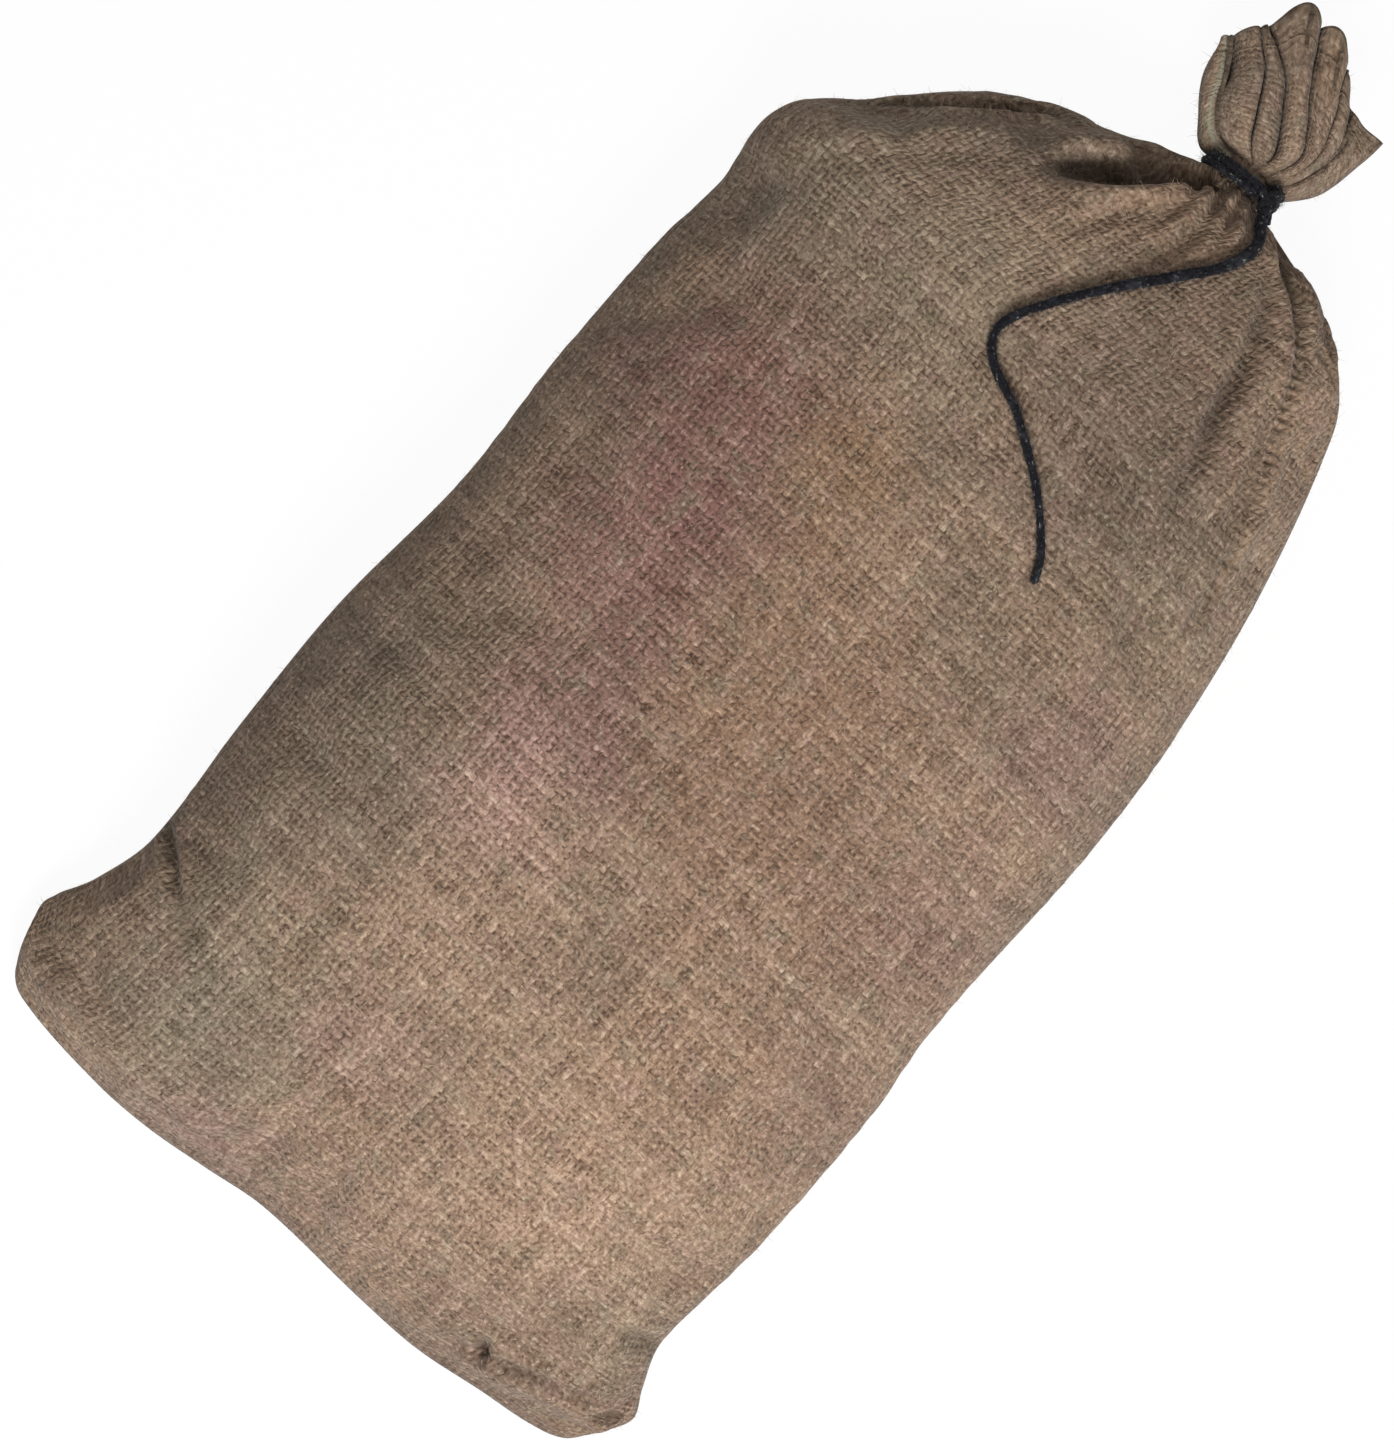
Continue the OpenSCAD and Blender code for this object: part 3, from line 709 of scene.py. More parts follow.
def makeRuff(setup):
    front, frontKinds, frontWearAndShade = ruffColumns(frontStations, setup, 1)
    backList = [frontStations[-1]] + backStations + [frontStations[0]]
    back, backKinds, backWearAndShade = ruffColumns(backList, setup, -1)
    columns = front + back[1:-1]
    kinds = frontKinds + backKinds[1:-1]
    wear = np.array(frontWearAndShade + backWearAndShade[1:-1])
    grid = np.stack(columns, 1) / 1000
    t = np.linspace(0, 1, setup["rows"])[:, None]
    crumple = lumps(grid, 0.017, 4) * 0.0016 + lumps(grid, 0.008, 9) * 0.0006
    outward = np.sign(grid[..., 2]) * (np.array(kinds) == "lobe")[None]
    grid[..., 2] += crumple * outward * np.clip(t * 3, 0, 1)
    grid[..., 0] += 0.0012 * lumps(grid, 0.02, 13) * t
    grid[..., 1] += 0.0016 * lumps(grid, 0.012, 17) * t ** 2
    grid = grid + tie
    steps = np.linalg.norm(np.diff(np.concatenate([grid, grid[:, :1]], 1), axis=1), axis=2)
    width = np.c_[np.zeros(len(grid)), np.cumsum(steps, 1)][:, :-1].mean(0)
    along = np.r_[0, np.cumsum(np.linalg.norm(np.diff(grid[:, 5], axis=0), axis=1))]
    uv = np.stack(np.broadcast_arrays(width[None], along[:, None]), -1).reshape(-1, 2)
    ruff = meshPiece("ruffCloth", grid.reshape(-1, 3), gridFaces(*grid.shape[:2], closed=True, flipped=False))
    setUv(ruff, "cloth", uv)
    # painted shade darkens the ruff at the tie; it is also darker along the mouth's rim
    edges = 0.5 * np.exp(-t / 0.12) + 0.6 * np.exp(-(1 - t) / 0.03)
    grime = np.clip(wear[None, :, 0] + edges * (1 + 0.8 * lumps(grid, 0.02, 31)), 0, 1)
    setUv(ruff, "wear", np.stack(np.broadcast_arrays(grime, wear[None, :, 1]), -1).reshape(-1, 2))
    applyModifier(ruff, "SOLIDIFY", thickness=setup["thickness"], offset=0, use_rim=True)
    return ruff, grid, kinds


ruffCloth, ruffGrid, ruffKinds = makeRuff(ruffSetup)
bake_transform(ruffCloth)
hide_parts("front_ruff", "back_ruff")
print("ruff pleated")


# Gathered neck under the cord
neckSetup = {
    "radius": 0.0195, "flare": 0.0014, "pleats": 17, "depth": 0.0022, "half": 0.017, "thickness": 0.0014,
    "rows": 30, "pleatColumns": 14,
}


def makeNeck(setup):
    rows, columns = setup["rows"], setup["pleats"] * setup["pleatColumns"]
    turn = np.linspace(0, 2 * math.pi, columns, endpoint=False)[None]
    t = np.linspace(-1, 1, rows)[:, None]
    wobble = 0.5 * np.sin(3 * turn + 1) + 0.4 * np.sin(5 * turn)
    pleat = np.abs(np.sin(setup["pleats"] / 2 * turn + wobble + 0.25 * t)) ** 0.6
    radius = setup["radius"] + setup["flare"] * t ** 2 - setup["depth"] * (1 - pleat) * (0.7 + t ** 2)
    spread = np.broadcast_arrays(radius * np.cos(turn), setup["half"] * t, radius * np.sin(turn))
    grid = np.stack(spread, -1) + tie
    uv = np.stack(np.broadcast_arrays(turn * 0.03, setup["half"] * t), -1).reshape(-1, 2)
    neck = meshPiece("neckCloth", grid.reshape(-1, 3), gridFaces(rows, columns, closed=True, flipped=True))
    setUv(neck, "cloth", uv)
    # painted shade: the gathered neck under the cord gets half the darkening all over
    setUv(neck, "wear", np.tile([0.5, 0.0], (len(uv), 1)))
    applyModifier(neck, "SOLIDIFY", thickness=setup["thickness"], offset=-1, use_rim=True)
    return neck


neckCloth = makeNeck(neckSetup)
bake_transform(neckCloth)
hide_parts("neck_gather")
print("neck gathered")


# Stitching: running threads along the seams and round the mouth's hem
stitchSetup = {"thread": 0.0008, "pitch": 0.009, "sides": 6, "steps": 8, "columnsIn": 5, "rowsIn": 5}


def stitchRow(name, line, ups, setup):
    path = evenly(line, setup["pitch"] / setup["steps"])
    share, known = np.linspace(0, 1, len(path)), np.linspace(0, 1, len(ups))
    upRows = np.stack([np.interp(share, known, ups[:, k]) for k in range(3)], 1)
    phase = np.arange(len(path)) / setup["steps"] * 2 * math.pi
    route = path + upRows * (np.sin(phase) * setup["thread"] * 0.9)[:, None]
    points = []
    sides = setup["sides"]
    along = np.gradient(route, axis=0)
    along /= np.linalg.norm(along, axis=1, keepdims=True)
    for spot, heading, up in zip(route, along, upRows):
        across = np.cross(heading, up)
        across /= max(np.linalg.norm(across), 1e-9)
        rise = np.cross(across, heading)
        points += [spot + setup["thread"] * (across * math.cos(a) + rise * math.sin(a))
                   for a in np.linspace(0, 2 * math.pi, sides, endpoint=False)]
    last = (len(route) - 1) * sides
    caps = [list(range(sides))[::-1], list(range(last, last + sides))]
    return meshPiece(name, points, gridFaces(len(route), sides, closed=True) + caps)


def seamRows(setup):
    up = np.array([[0.0, 0, 1.0]] * 2)
    inner = setup["columnsIn"]
    middle = (frontGrid + backGrid) / 2
    seams = {
        "left": middle[8:-10, inner] + [0.001, 0, 0],
        "right": middle[8:-10, -1 - inner] - [0.001, 0, 0],
        "bottom": middle[setup["rowsIn"], 12:-12],
    }
    return {side: stitchRow(side + "SeamStitches", line, up, setup) for side, line in seams.items()}


seamStitches = seamRows(stitchSetup)
for side, stitches in seamStitches.items():
    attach(stitches, "sack")
    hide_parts(side + "_seam_thread")


def hemRow(setup):
    row = int((1 - ruffSetup["hem"]) * (len(ruffGrid) - 1))
    middle = ruffGrid.mean(1)
    pieces, run = [], []
    for n, kind in list(enumerate(ruffKinds)) + [(0, "end")]:
        if kind == "lobe":
            run.append(n)
            continue
        if len(run) > 6:
            spots = ruffGrid[row, run]
            out = np.sign(spots[:, 2:] - middle[row, 2]) * np.array([[0, 0, 1.0]])
            line = spots + out * 0.0011
            pieces.append(stitchRow("hem%d" % len(pieces), line[1:-1], out[1:-1], setup))
        run = []
    return joinPieces("hemStitches", pieces)


hemStitches = hemRow({**stitchSetup, "pitch": 0.006, "thread": 0.0006})
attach(hemStitches, "ruff")
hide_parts("mouth_hem_thread")
print("seams stitched")


# Loose straw packing inside
strawSetup = {"inset": 0.012, "straws": 700, "length": 0.026, "width": 0.0028}


def makePacking(setup):
    columns, rows = 40, 70
    s = np.linspace(0, 1, columns)
    y = np.linspace(0.05, 0.92, rows) * sackShape["length"]
    front = sackSkin(*np.meshgrid(s, y), "front")
    back = sackSkin(*np.meshgrid(s, y), "back")
    middle = (front[:, :1] + front[:, -1:]) / 2
    deep = setup["inset"]
    points = []
    for grid, side in ((front, 1), (back, -1)):
        inner = middle + (grid - middle) * [0.95, 1, 1]
        inner[..., 2] = grid[..., 2] - side * deep * np.clip(np.sin(math.pi * s), 0.25, 1) * 1.3
        inner[..., 2] -= side * 0.002 * (1 + lumps(inner, 0.03, 21))
        points.append(inner)
    centre = (points[0][..., 2:] + points[1][..., 2:]) / 2
    high = np.maximum(points[0][..., 2:], centre + 0.0004)
    low = np.minimum(points[1][..., 2:], centre - 0.0004)
    points[0][..., 2:], points[1][..., 2:] = high, np.maximum(low, 0.003)
    ring = np.concatenate([points[0], points[1][:, ::-1]], 1)
    width = ring.shape[1]
    faces = gridFaces(rows, width, closed=True)
    spots = list(ring.reshape(-1, 3)) + [ring[0].mean(0), ring[-1].mean(0)]
    hub = len(spots) - 2
    faces += [[(k + 1) % width, hub, k] for k in range(width)]
    faces += [[(rows - 1) * width + k, (rows - 1) * width + (k + 1) % width, hub + 1] for k in range(width)]
    lump = meshPiece("packingLump", spots, faces)
    picksJ = dice.integers(10, rows - 12, setup["straws"])
    picksI = dice.integers(12, columns - 12, setup["straws"])
    roots = points[0][picksJ, picksI] - [0, 0, 0.0015]
    flatUp = np.tile([0.0, 0, 1.0], (setup["straws"], 1))
    straws = fibres("straws", roots, flatUp, setup["length"], setup["width"], lie=1.0, curl=0.01)
    return joinPieces("strawPacking", [lump, straws])


strawPacking = makePacking(strawSetup)
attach(strawPacking, "sack")
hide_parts("filling")
print("packing stuffed")


# Loose jute hairs on the cloth
hairSetup = {"sack": 5200, "ruff": 1400, "length": 0.0065, "width": 0.00026}


def clothHairs(name, grid, count, setup, outward):
    rows, columns = grid.shape[:2]
    normal = gridNormals(grid)
    j, i = dice.integers(1, rows - 1, count), dice.integers(1, columns - 1, count)
    normals = normal[j, i] * outward(grid[j, i], normal[j, i])[:, None]
    return fibres(name, grid[j, i] + normals * 0.0002, normals, setup["length"], setup["width"], lie=0.72)


def upward(spots, normals):
    return np.where(normals[:, 2] < 0, -1.0, 1.0)


def fromMiddle(spots, normals):
    return np.where((normals * (spots - ruffGrid.mean((0, 1)))).sum(1) < 0, -1.0, 1.0)


sackHairs = clothHairs("sackHairs", frontGrid[4:-14], hairSetup["sack"], hairSetup, upward)
ruffHairs = clothHairs("ruffHairs", ruffGrid[20:], hairSetup["ruff"], hairSetup, fromMiddle)
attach(sackHairs, "sack")
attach(ruffHairs, "ruff")
print("loose hairs added")


# Materials

def newNode(tree, kind, settings=None, inputs=None):
    node = tree.nodes.new(kind)
    for key, value in (settings or {}).items():
        setattr(node, key, value)
    for key, value in (inputs or {}).items():
        if isinstance(value, bpy.types.NodeSocket):
            tree.links.new(value, node.inputs[key])
        else:
            node.inputs[key].default_value = value
    return node


def calc(tree, operation, *values, clamp=False):
    settings = {"operation": operation, "use_clamp": clamp}
    return newNode(tree, "ShaderNodeMath", settings, dict(enumerate(values))).outputs[0]


def vectorCalc(tree, operation, *values):
    return newNode(tree, "ShaderNodeVectorMath", {"operation": operation}, dict(enumerate(values))).outputs[0]


def ramp(tree, value, low, high, start=0.0, end=1.0):
    inputs = {"Value": value, "From Min": low, "From Max": high, "To Min": start, "To Max": end}
    return newNode(tree, "ShaderNodeMapRange", {"interpolation_type": "SMOOTHSTEP"}, inputs).outputs[0]


def mixColour(tree, factor, first, second, blendType="MIX"):
    node = newNode(tree, "ShaderNodeMix", {"data_type": "RGBA", "blend_type": blendType})
    for socket, value in ((node.inputs[0], factor), (node.inputs[6], first), (node.inputs[7], second)):
        if isinstance(value, bpy.types.NodeSocket):
            tree.links.new(value, socket)
        else:
            socket.default_value = (*value, 1) if hasattr(value, "__len__") and len(value) == 3 else value
    return node.outputs[2]


def noiseOf(tree, vector, scale, detail=2.0, roughness=0.5, output="Fac"):
    inputs = {"Vector": vector, "Scale": scale, "Detail": detail, "Roughness": roughness}
    return newNode(tree, "ShaderNodeTexNoise", {}, inputs).outputs[output]


def startMaterial(name):
    material = bpy.data.materials.new(name)
    material.use_nodes = True
    tree = material.node_tree
    return material, tree, tree.nodes["Principled BSDF"]


def finishCloth(tree, shader, colour, height, distance, strength, rough):
    bump = newNode(tree, "ShaderNodeBump", {}, {"Height": height, "Distance": distance, "Strength": strength})
    tree.links.new(bump.outputs[0], shader.inputs["Normal"])
    tree.links.new(colour, shader.inputs["Base Color"])
    shader.inputs["Roughness"].default_value = rough
    shader.inputs["Specular IOR Level"].default_value = 0.15


hessianLook = {
    "pitch": (0.0050, 0.0054), "wander": 0.006, "jitter": 0.0018, "relief": 0.0013,
    "tints": [(0.30, 0.203, 0.137), (0.235, 0.165, 0.115), (0.27, 0.172, 0.135), (0.20, 0.162, 0.112)],
    # painted shade: the darkest share and the tint for the gaps between threads
    "hole": 0.1, "holeTint": (0.075, 0.045, 0.03), "paleTint": (0.52, 0.41, 0.30), "contrast": 2.8,
    "warmth": (0.88, 1.1), "shares": (0.45, 0.35, 0.2),  # shares of slubs, streaks and bands in the tone
    "grime": (0.42, 0.43, 0.42), "selvedge": (0.37, 0.36, 0.26),
}
# Stains on the sack's cloth, with painted shade and painted light among them: middle across and along in
# metres, reach, tint, strength
stainAndShadeList = [
    # painted shade: these two dark grey patches on the left flank
    ((-0.19, 0.30), 0.11, (0.17, 0.135, 0.098), 0.6),
    ((-0.185, 0.60), 0.09, (0.19, 0.13, 0.095), 0.6),
    ((-0.15, 0.78), 0.10, (0.22, 0.178, 0.128), 0.6),
    # painted light: paler patch at the shoulder by the neck
    ((-0.05, 0.79), 0.09, (0.30, 0.23, 0.155), 0.6),
    ((0.00, 0.50), 0.13, (0.245, 0.148, 0.095), 0.75),
    ((0.11, 0.45), 0.12, (0.25, 0.155, 0.105), 0.7),
    ((-0.132, 0.628), 0.09, (0.224, 0.113, 0.096), 0.8),
    ((-0.114, 0.52), 0.082, (0.222, 0.114, 0.1), 0.8),
    ((-0.078, 0.42), 0.07, (0.22, 0.122, 0.107), 0.78),
    ((-0.068, 0.352), 0.06, (0.38, 0.235, 0.195), 0.8),
    ((-0.044, 0.647), 0.05, (0.25, 0.152, 0.088), 0.7),
    # painted shade: these two dark patches at the upper right
    ((0.161, 0.74), 0.08, (0.155, 0.125, 0.086), 0.75),
    ((0.09, 0.79), 0.10, (0.165, 0.12, 0.09), 0.75),
    ((0.18, 0.624), 0.06, (0.21, 0.135, 0.112), 0.6),
    ((0.19, 0.48), 0.07, (0.24, 0.145, 0.115), 0.65),
    ((0.21, 0.34), 0.06, (0.22, 0.14, 0.108), 0.6),
    ((-0.12, 0.12), 0.085, (0.215, 0.18, 0.128), 0.75),
    ((-0.045, 0.16), 0.05, (0.30, 0.19, 0.15), 0.6),
    ((-0.076, 0.035), 0.045, (0.29, 0.185, 0.15), 0.65),
    ((-0.05, 0.267), 0.06, (0.35, 0.235, 0.165), 0.6),
    ((0.11, 0.15), 0.12, (0.335, 0.225, 0.155), 0.7),
    ((0.13, 0.29), 0.09, (0.30, 0.19, 0.125), 0.6),
    ((0.218, 0.12), 0.05, (0.22, 0.18, 0.12), 0.5),
    # painted shade: darker at the foot
    ((0.18, 0.03), 0.12, (0.19, 0.13, 0.094), 0.85),
    ((-0.108, 0.895), 0.05, (0.15, 0.118, 0.088), 0.65),
    # painted shade: darker at the foot
    ((-0.02, 0.0), 0.09, (0.21, 0.14, 0.108), 0.65),
]


def weave(tree, look):
    uv = newNode(tree, "ShaderNodeUVMap", {"uv_map": "cloth"}).outputs[0]
    drift = vectorCalc(tree, "SUBTRACT", noiseOf(tree, uv, 42.0, 3.0, 0.6, "Color"), (0.5, 0.5, 0.5))
    drift = vectorCalc(tree, "MULTIPLY", drift, (look["wander"], look["wander"], 0))
    jitter = vectorCalc(tree, "SUBTRACT", noiseOf(tree, uv, 230.0, 1.0, 0.5, "Color"), (0.5, 0.5, 0.5))
    jitter = vectorCalc(tree, "MULTIPLY", jitter, (look["jitter"], look["jitter"], 0))
    spot = vectorCalc(tree, "ADD", vectorCalc(tree, "ADD", uv, drift), jitter)
    spot = vectorCalc(tree, "MULTIPLY", spot, (1 / look["pitch"][0], 1 / look["pitch"][1], 0))
    parts = newNode(tree, "ShaderNodeSeparateXYZ", {}, {0: spot})
    threads = []
    ways = ((parts.outputs[0], parts.outputs[1], 3.1), (parts.outputs[1], parts.outputs[0], 8.7))
    for here, other, seed in ways:
        number = calc(tree, "FLOOR", here)
        slub = threadNoise(tree, number, 5.37, other, 0.22, seed, 3.0)
        streak = threadNoise(tree, number, 2.71, other, 0.018, seed + 4, 2.0)
        band = threadNoise(tree, here, 0.31, other, 0.012, seed + 9, 2.0)
        shares = look["shares"]
        tone = calc(tree, "MULTIPLY_ADD", streak, shares[1], calc(tree, "MULTIPLY", band, shares[2]))
        tone = calc(tree, "MULTIPLY_ADD", slub, shares[0], tone)
        wide = calc(tree, "MULTIPLY_ADD", slub, 1.5, calc(tree, "MULTIPLY_ADD", streak, 1.65, -0.65))
        wide = calc(tree, "MAXIMUM", wide, 0.45)
        strand = threadNoise(tree, here, 4.3, other, 0.55, seed + 14, 2.0)
        off = calc(tree, "MULTIPLY", calc(tree, "FRACT", here), 2.0)
        off = calc(tree, "ABSOLUTE", calc(tree, "SUBTRACT", off, 1.0))
        share = calc(tree, "DIVIDE", off, wide)
        roundness = calc(tree, "SUBTRACT", 1.0, calc(tree, "MULTIPLY", share, share), clamp=True)
        tone = calc(tree, "MULTIPLY_ADD", calc(tree, "SUBTRACT", strand, 0.5), 0.5, tone)
        threads.append((roundness, tone, calc(tree, "SINE", calc(tree, "MULTIPLY", here, math.pi))))
    cross = calc(tree, "MULTIPLY", threads[0][2], threads[1][2])
    warp = calc(tree, "MULTIPLY", threads[0][0], calc(tree, "MULTIPLY_ADD", cross, 0.26, 0.74))
    weft = calc(tree, "MULTIPLY", threads[1][0], calc(tree, "MULTIPLY_ADD", cross, -0.26, 0.74))
    height = calc(tree, "MAXIMUM", warp, weft)
    onTop = calc(tree, "GREATER_THAN", warp, weft)
    tones = {0: onTop, 2: threads[1][1], 3: threads[0][1]}
    tone = newNode(tree, "ShaderNodeMix", {"data_type": "FLOAT"}, tones).outputs[0]
    return uv, height, tone


def threadNoise(tree, number, apart, other, stretch, seed, detail):
    across = calc(tree, "MULTIPLY", number, apart)
    along = calc(tree, "MULTIPLY", other, stretch)
    place = newNode(tree, "ShaderNodeCombineXYZ", {}, {0: across, 1: along, 2: seed}).outputs[0]
    return noiseOf(tree, place, 1.0, detail, 0.65)


def hessian(name, look, stainsAndShade, shade=1.0, shift=0.0):
    material, tree, shader = startMaterial(name)
    uv, height, tone = weave(tree, look)
    wearAndShadeMap = newNode(tree, "ShaderNodeUVMap", {"uv_map": "wear"}).outputs[0]
    wear = newNode(tree, "ShaderNodeSeparateXYZ", {}, {0: wearAndShadeMap})
    moved = vectorCalc(tree, "ADD", uv, (shift, shift * 0.7, shift * 0.3))
    tints = look["tints"]
    colour = mixColour(tree, ramp(tree, noiseOf(tree, moved, 9.0, 3.0), 0.38, 0.62), tints[0], tints[1])
    shore = noiseOf(tree, vectorCalc(tree, "ADD", moved, (3.0, 1.0, 0.0)), 13.0, 4.0, 0.6)
    # stains, with painted shade and painted light among them, blended in as ragged patches
    for (across, along), reach, tint, strength in stainsAndShade:
        ends = {0: uv, 1: (across, along, 0)}
        apart = newNode(tree, "ShaderNodeVectorMath", {"operation": "DISTANCE"}, ends).outputs["Value"]
        uneven = calc(tree, "MULTIPLY", calc(tree, "SUBTRACT", shore, 0.5), reach * 1.8)
        ragged = calc(tree, "ADD", apart, uneven)
        colour = mixColour(tree, ramp(tree, ragged, reach * 1.25, reach * 0.2, 0.0, strength), colour, tint)
    patches = ((3.0, 34.0, tints[2]), (7.0, 40.0, tints[3]), (11.0, 70.0, tints[2]), (15.0, 80.0, tints[3]))
    for offset, scale, tint in patches:
        patch = noiseOf(tree, vectorCalc(tree, "ADD", moved, (offset, offset * 0.6, 0.0)), scale, 3.0, 0.6)
        colour = mixColour(tree, ramp(tree, patch, 0.53, 0.68, 0.0, 0.45), colour, tint)
    fleck = noiseOf(tree, uv, 300.0, 2.0, 0.6)
    # painted shade: the gaps between the threads darken, the lower the thread height
    gapShadeDepth = ramp(tree, noiseOf(tree, uv, 90.0, 2.0, 0.6), 0.38, 0.6, look["hole"], 0.75)
    levels = {"Value": height, "From Min": 0.02, "From Max": 0.5, "To Min": gapShadeDepth, "To Max": 1.0}
    gap = newNode(tree, "ShaderNodeMapRange", {}, levels).outputs[0]
    vary = calc(tree, "MULTIPLY_ADD", tone, look["contrast"], 1 - look["contrast"] / 2)
    flecked = calc(tree, "MULTIPLY_ADD", fleck, 2.2, -0.1)
    bright = calc(tree, "MULTIPLY", calc(tree, "MAXIMUM", vary, 0.25), flecked)
    bright = calc(tree, "MULTIPLY", bright, shade)
    red, blue = (calc(tree, "POWER", bright, power) for power in look["warmth"])  # dark threads are browner
    grey = newNode(tree, "ShaderNodeCombineColor", {}, {0: red, 1: bright, 2: blue}).outputs[0]
    colour = mixColour(tree, 1.0, colour, grey, "MULTIPLY")
    paleThreads, paleFlecks = ramp(tree, tone, 0.62, 0.72, 0.0, 0.55), ramp(tree, fleck, 0.6, 0.7, 0.0, 0.4)
    pale = calc(tree, "MAXIMUM", paleThreads, paleFlecks)
    pale = calc(tree, "MULTIPLY", pale, ramp(tree, height, 0.3, 0.65))
    colour = mixColour(tree, pale, colour, look["paleTint"])
    # painted shade in the gaps between threads
    colour = mixColour(tree, gap, look["holeTint"], colour)
    colour = mixColour(tree, calc(tree, "MULTIPLY", wear.outputs[1], 0.75), colour, look["selvedge"])
    # part dirt, part painted shade: the darkening mask multiplies the colour by a grey tint
    dirtiedAndShaded = mixColour(tree, 1.0, colour, look["grime"], "MULTIPLY")
    colour = mixColour(tree, wear.outputs[0], colour, dirtiedAndShaded)
    relief = calc(tree, "MULTIPLY_ADD", fleck, 0.25, height)
    finishCloth(tree, shader, colour, relief, look["relief"], 0.9, 0.93)
    shader.inputs["Sheen Weight"].default_value = 0.1
    shader.inputs["Sheen Roughness"].default_value = 0.5
    return material


def fibreMaterial(name, dark, light, scale, rough, sheen=0.0):
    material, tree, shader = startMaterial(name)
    place = newNode(tree, "ShaderNodeTexCoord").outputs["Object"]
    mottled = noiseOf(tree, place, scale, 3.0, 0.65)
    colour = mixColour(tree, ramp(tree, mottled, 0.35, 0.68), dark, light)
    finishCloth(tree, shader, colour, mottled, 0.0004, 0.6, rough)
    shader.inputs["Sheen Weight"].default_value = sheen
    return material


def cordMaterial(name, look):
    material, tree, shader = startMaterial(name)
    uv = newNode(tree, "ShaderNodeUVMap", {"uv_map": "strand"}).outputs[0]
    stretched = vectorCalc(tree, "MULTIPLY", uv, (1.0, 0.35, 1.0))
    strands = noiseOf(tree, stretched, 900.0, 3.0, 0.7)
    place = newNode(tree, "ShaderNodeTexCoord").outputs["Object"]
    dusty = noiseOf(tree, place, 120.0, 3.0, 0.6)
    colour = mixColour(tree, ramp(tree, strands, 0.4, 0.7), look["dark"], look["light"])
    colour = mixColour(tree, ramp(tree, dusty, 0.5, 0.7, 0.0, 0.45), colour, look["dust"])
    lint = noiseOf(tree, vectorCalc(tree, "MULTIPLY", uv, (1.0, 0.6, 1.0)), 420.0, 2.0, 0.6)
    colour = mixColour(tree, ramp(tree, lint, 0.61, 0.7, 0.0, 0.8), colour, look["lint"])
    finishCloth(tree, shader, colour, strands, 0.0006, 0.8, 0.85)
    shader.inputs["Sheen Weight"].default_value = 0.04
    return material


cordLook = {"dark": (0.003, 0.003, 0.004), "light": (0.012, 0.011, 0.015), "dust": (0.06, 0.062, 0.07),
            "lint": (0.27, 0.28, 0.27)}
sackHessian = hessian("sackHessian", hessianLook, stainAndShadeList, 0.92)
backHessian = hessian("backHessian", hessianLook, [], 0.92, 2.0)
ruffLook = {**hessianLook, "pitch": (0.0034, 0.0036), "hole": 0.6, "jitter": 0.003, "contrast": 1.8,
            "relief": 0.0009, "shares": (0.85, 0.1, 0.05)}
ruffHessian = hessian("ruffHessian", ruffLook, [], 1.05, 4.0)
juteThread = fibreMaterial("juteThread", (0.15, 0.11, 0.075), (0.30, 0.23, 0.16), 700.0, 0.9)
hairJute = fibreMaterial("hairJute", (0.22, 0.16, 0.11), (0.5, 0.4, 0.29), 90.0, 0.95)
strawMaterial = fibreMaterial("strawPacking", (0.38, 0.28, 0.12), (0.66, 0.55, 0.32), 160.0, 0.8)
blackCord = cordMaterial("blackCord", cordLook)
fuzzMaterial = fibreMaterial("cordFuzz", (0.004, 0.004, 0.006), (0.045, 0.047, 0.06), 200.0, 0.95)
dressing = {
    sackHessian: [sackFront], backHessian: [sackBack], ruffHessian: [ruffCloth, neckCloth],
    juteThread: [hemStitches, *seamStitches.values()],
    hairJute: [sackHairs, ruffHairs], strawMaterial: [strawPacking],
    blackCord: [cordTail, cordTurns, cordKnot], fuzzMaterial: [cordFuzzPiece],
}
for material, dressed in dressing.items():
    for piece in dressed:
        piece.data.materials.clear()
        piece.data.materials.append(material)
print("materials set")


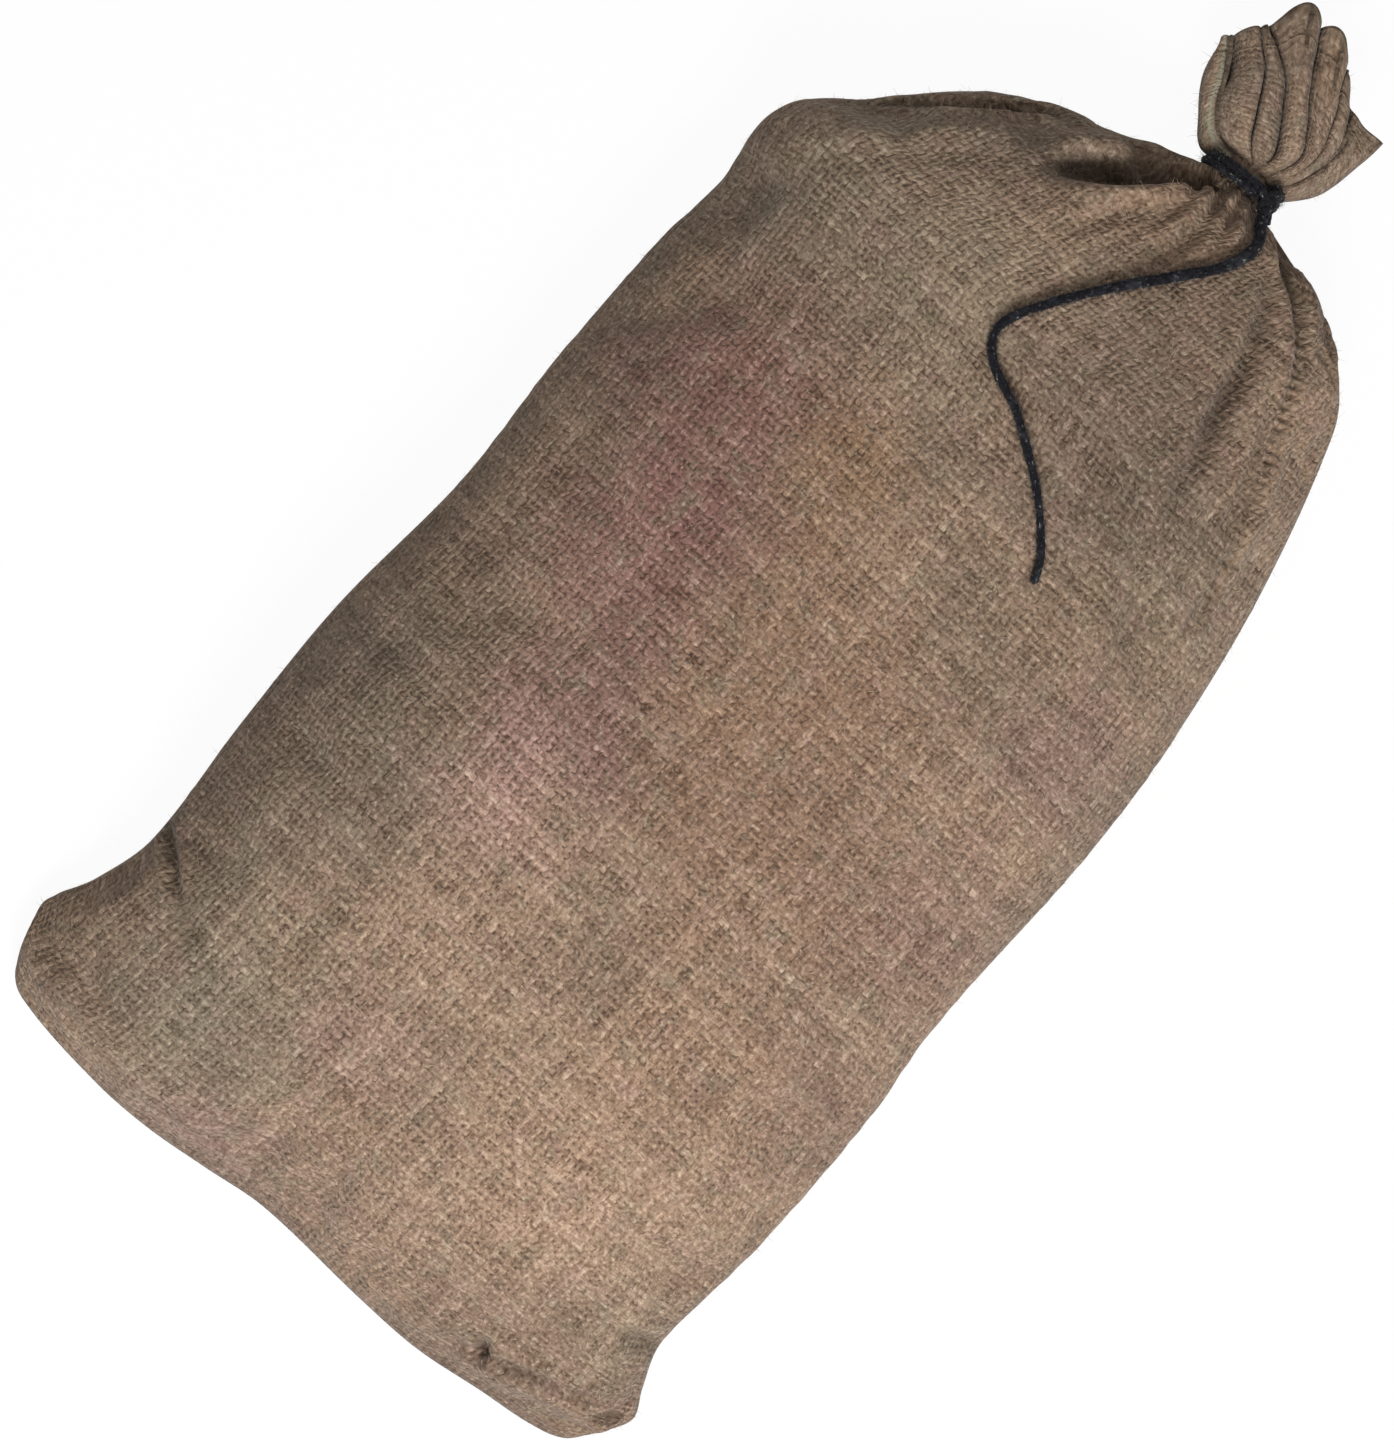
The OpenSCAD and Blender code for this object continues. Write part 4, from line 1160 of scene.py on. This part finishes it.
# Floor, light and background
stageSetup = {
    "floor": (0.86, 0.86, 0.85), "half": 6, "under": 0.0006, "white": 0.95, "sky": 0.36,
    "aim": (0, 0, 0.05),
    "key": {"power": 71.0, "size": 0.9, "place": (1.2, -1.2, 2.0)},
    "fill": {"power": 6.0, "size": 2.0, "place": (-0.4, 0.9, 2.6)},
}


def seenDirectly(tree):
    rays = newNode(tree, "ShaderNodeLightPath")
    seen = calc(tree, "ADD", rays.outputs["Is Camera Ray"], rays.outputs["Is Glossy Ray"], clamp=True)
    return calc(tree, "ADD", seen, rays.outputs["Is Transmission Ray"], clamp=True)


def makeFloor(setup):
    far, low = setup["half"], -setup["under"]
    floor = meshPiece("floor", [(-far, -far, low), (far, -far, low), (far, far, low), (-far, far, low)],
                      [[0, 1, 2, 3]])
    material, tree, shader = startMaterial("paleFloor")
    shader.inputs["Base Color"].default_value = (*setup["floor"], 1)
    shader.inputs["Roughness"].default_value = 0.95
    glow = newNode(tree, "ShaderNodeEmission", {}, {"Color": (1, 1, 1, 1), "Strength": 1.0})
    share = calc(tree, "MULTIPLY", seenDirectly(tree), setup["white"])
    mix = newNode(tree, "ShaderNodeMixShader", {}, {0: share, 1: shader.outputs[0], 2: glow.outputs[0]})
    tree.links.new(mix.outputs[0], tree.nodes["Material Output"].inputs["Surface"])
    floor.data.materials.append(material)


def makeLamp(name, lampSetup, aim):
    data = bpy.data.lights.new(name, "AREA")
    data.energy = lampSetup["power"]
    data.size = lampSetup["size"]
    lamp = bpy.data.objects.new(name, data)
    lamp.location = lampSetup["place"]
    lamp.rotation_euler = (Vector(aim) - lamp.location).to_track_quat("-Z", "Y").to_euler()
    scene.collection.objects.link(lamp)


def makeSky(setup):
    world = bpy.data.worlds.new("studio")
    world.use_nodes = True
    tree = world.node_tree
    strength = calc(tree, "MULTIPLY_ADD", seenDirectly(tree), 1.0 - setup["sky"], setup["sky"])
    tree.nodes["Background"].inputs["Color"].default_value = (1, 1, 1, 1)
    tree.links.new(strength, tree.nodes["Background"].inputs["Strength"])
    scene.world = world


makeFloor(stageSetup)
makeLamp("keyLight", stageSetup["key"], stageSetup["aim"])
makeLamp("fillLight", stageSetup["fill"], stageSetup["aim"])
makeSky(stageSetup)
scene.view_settings.view_transform = "Standard"
print("stage lit")
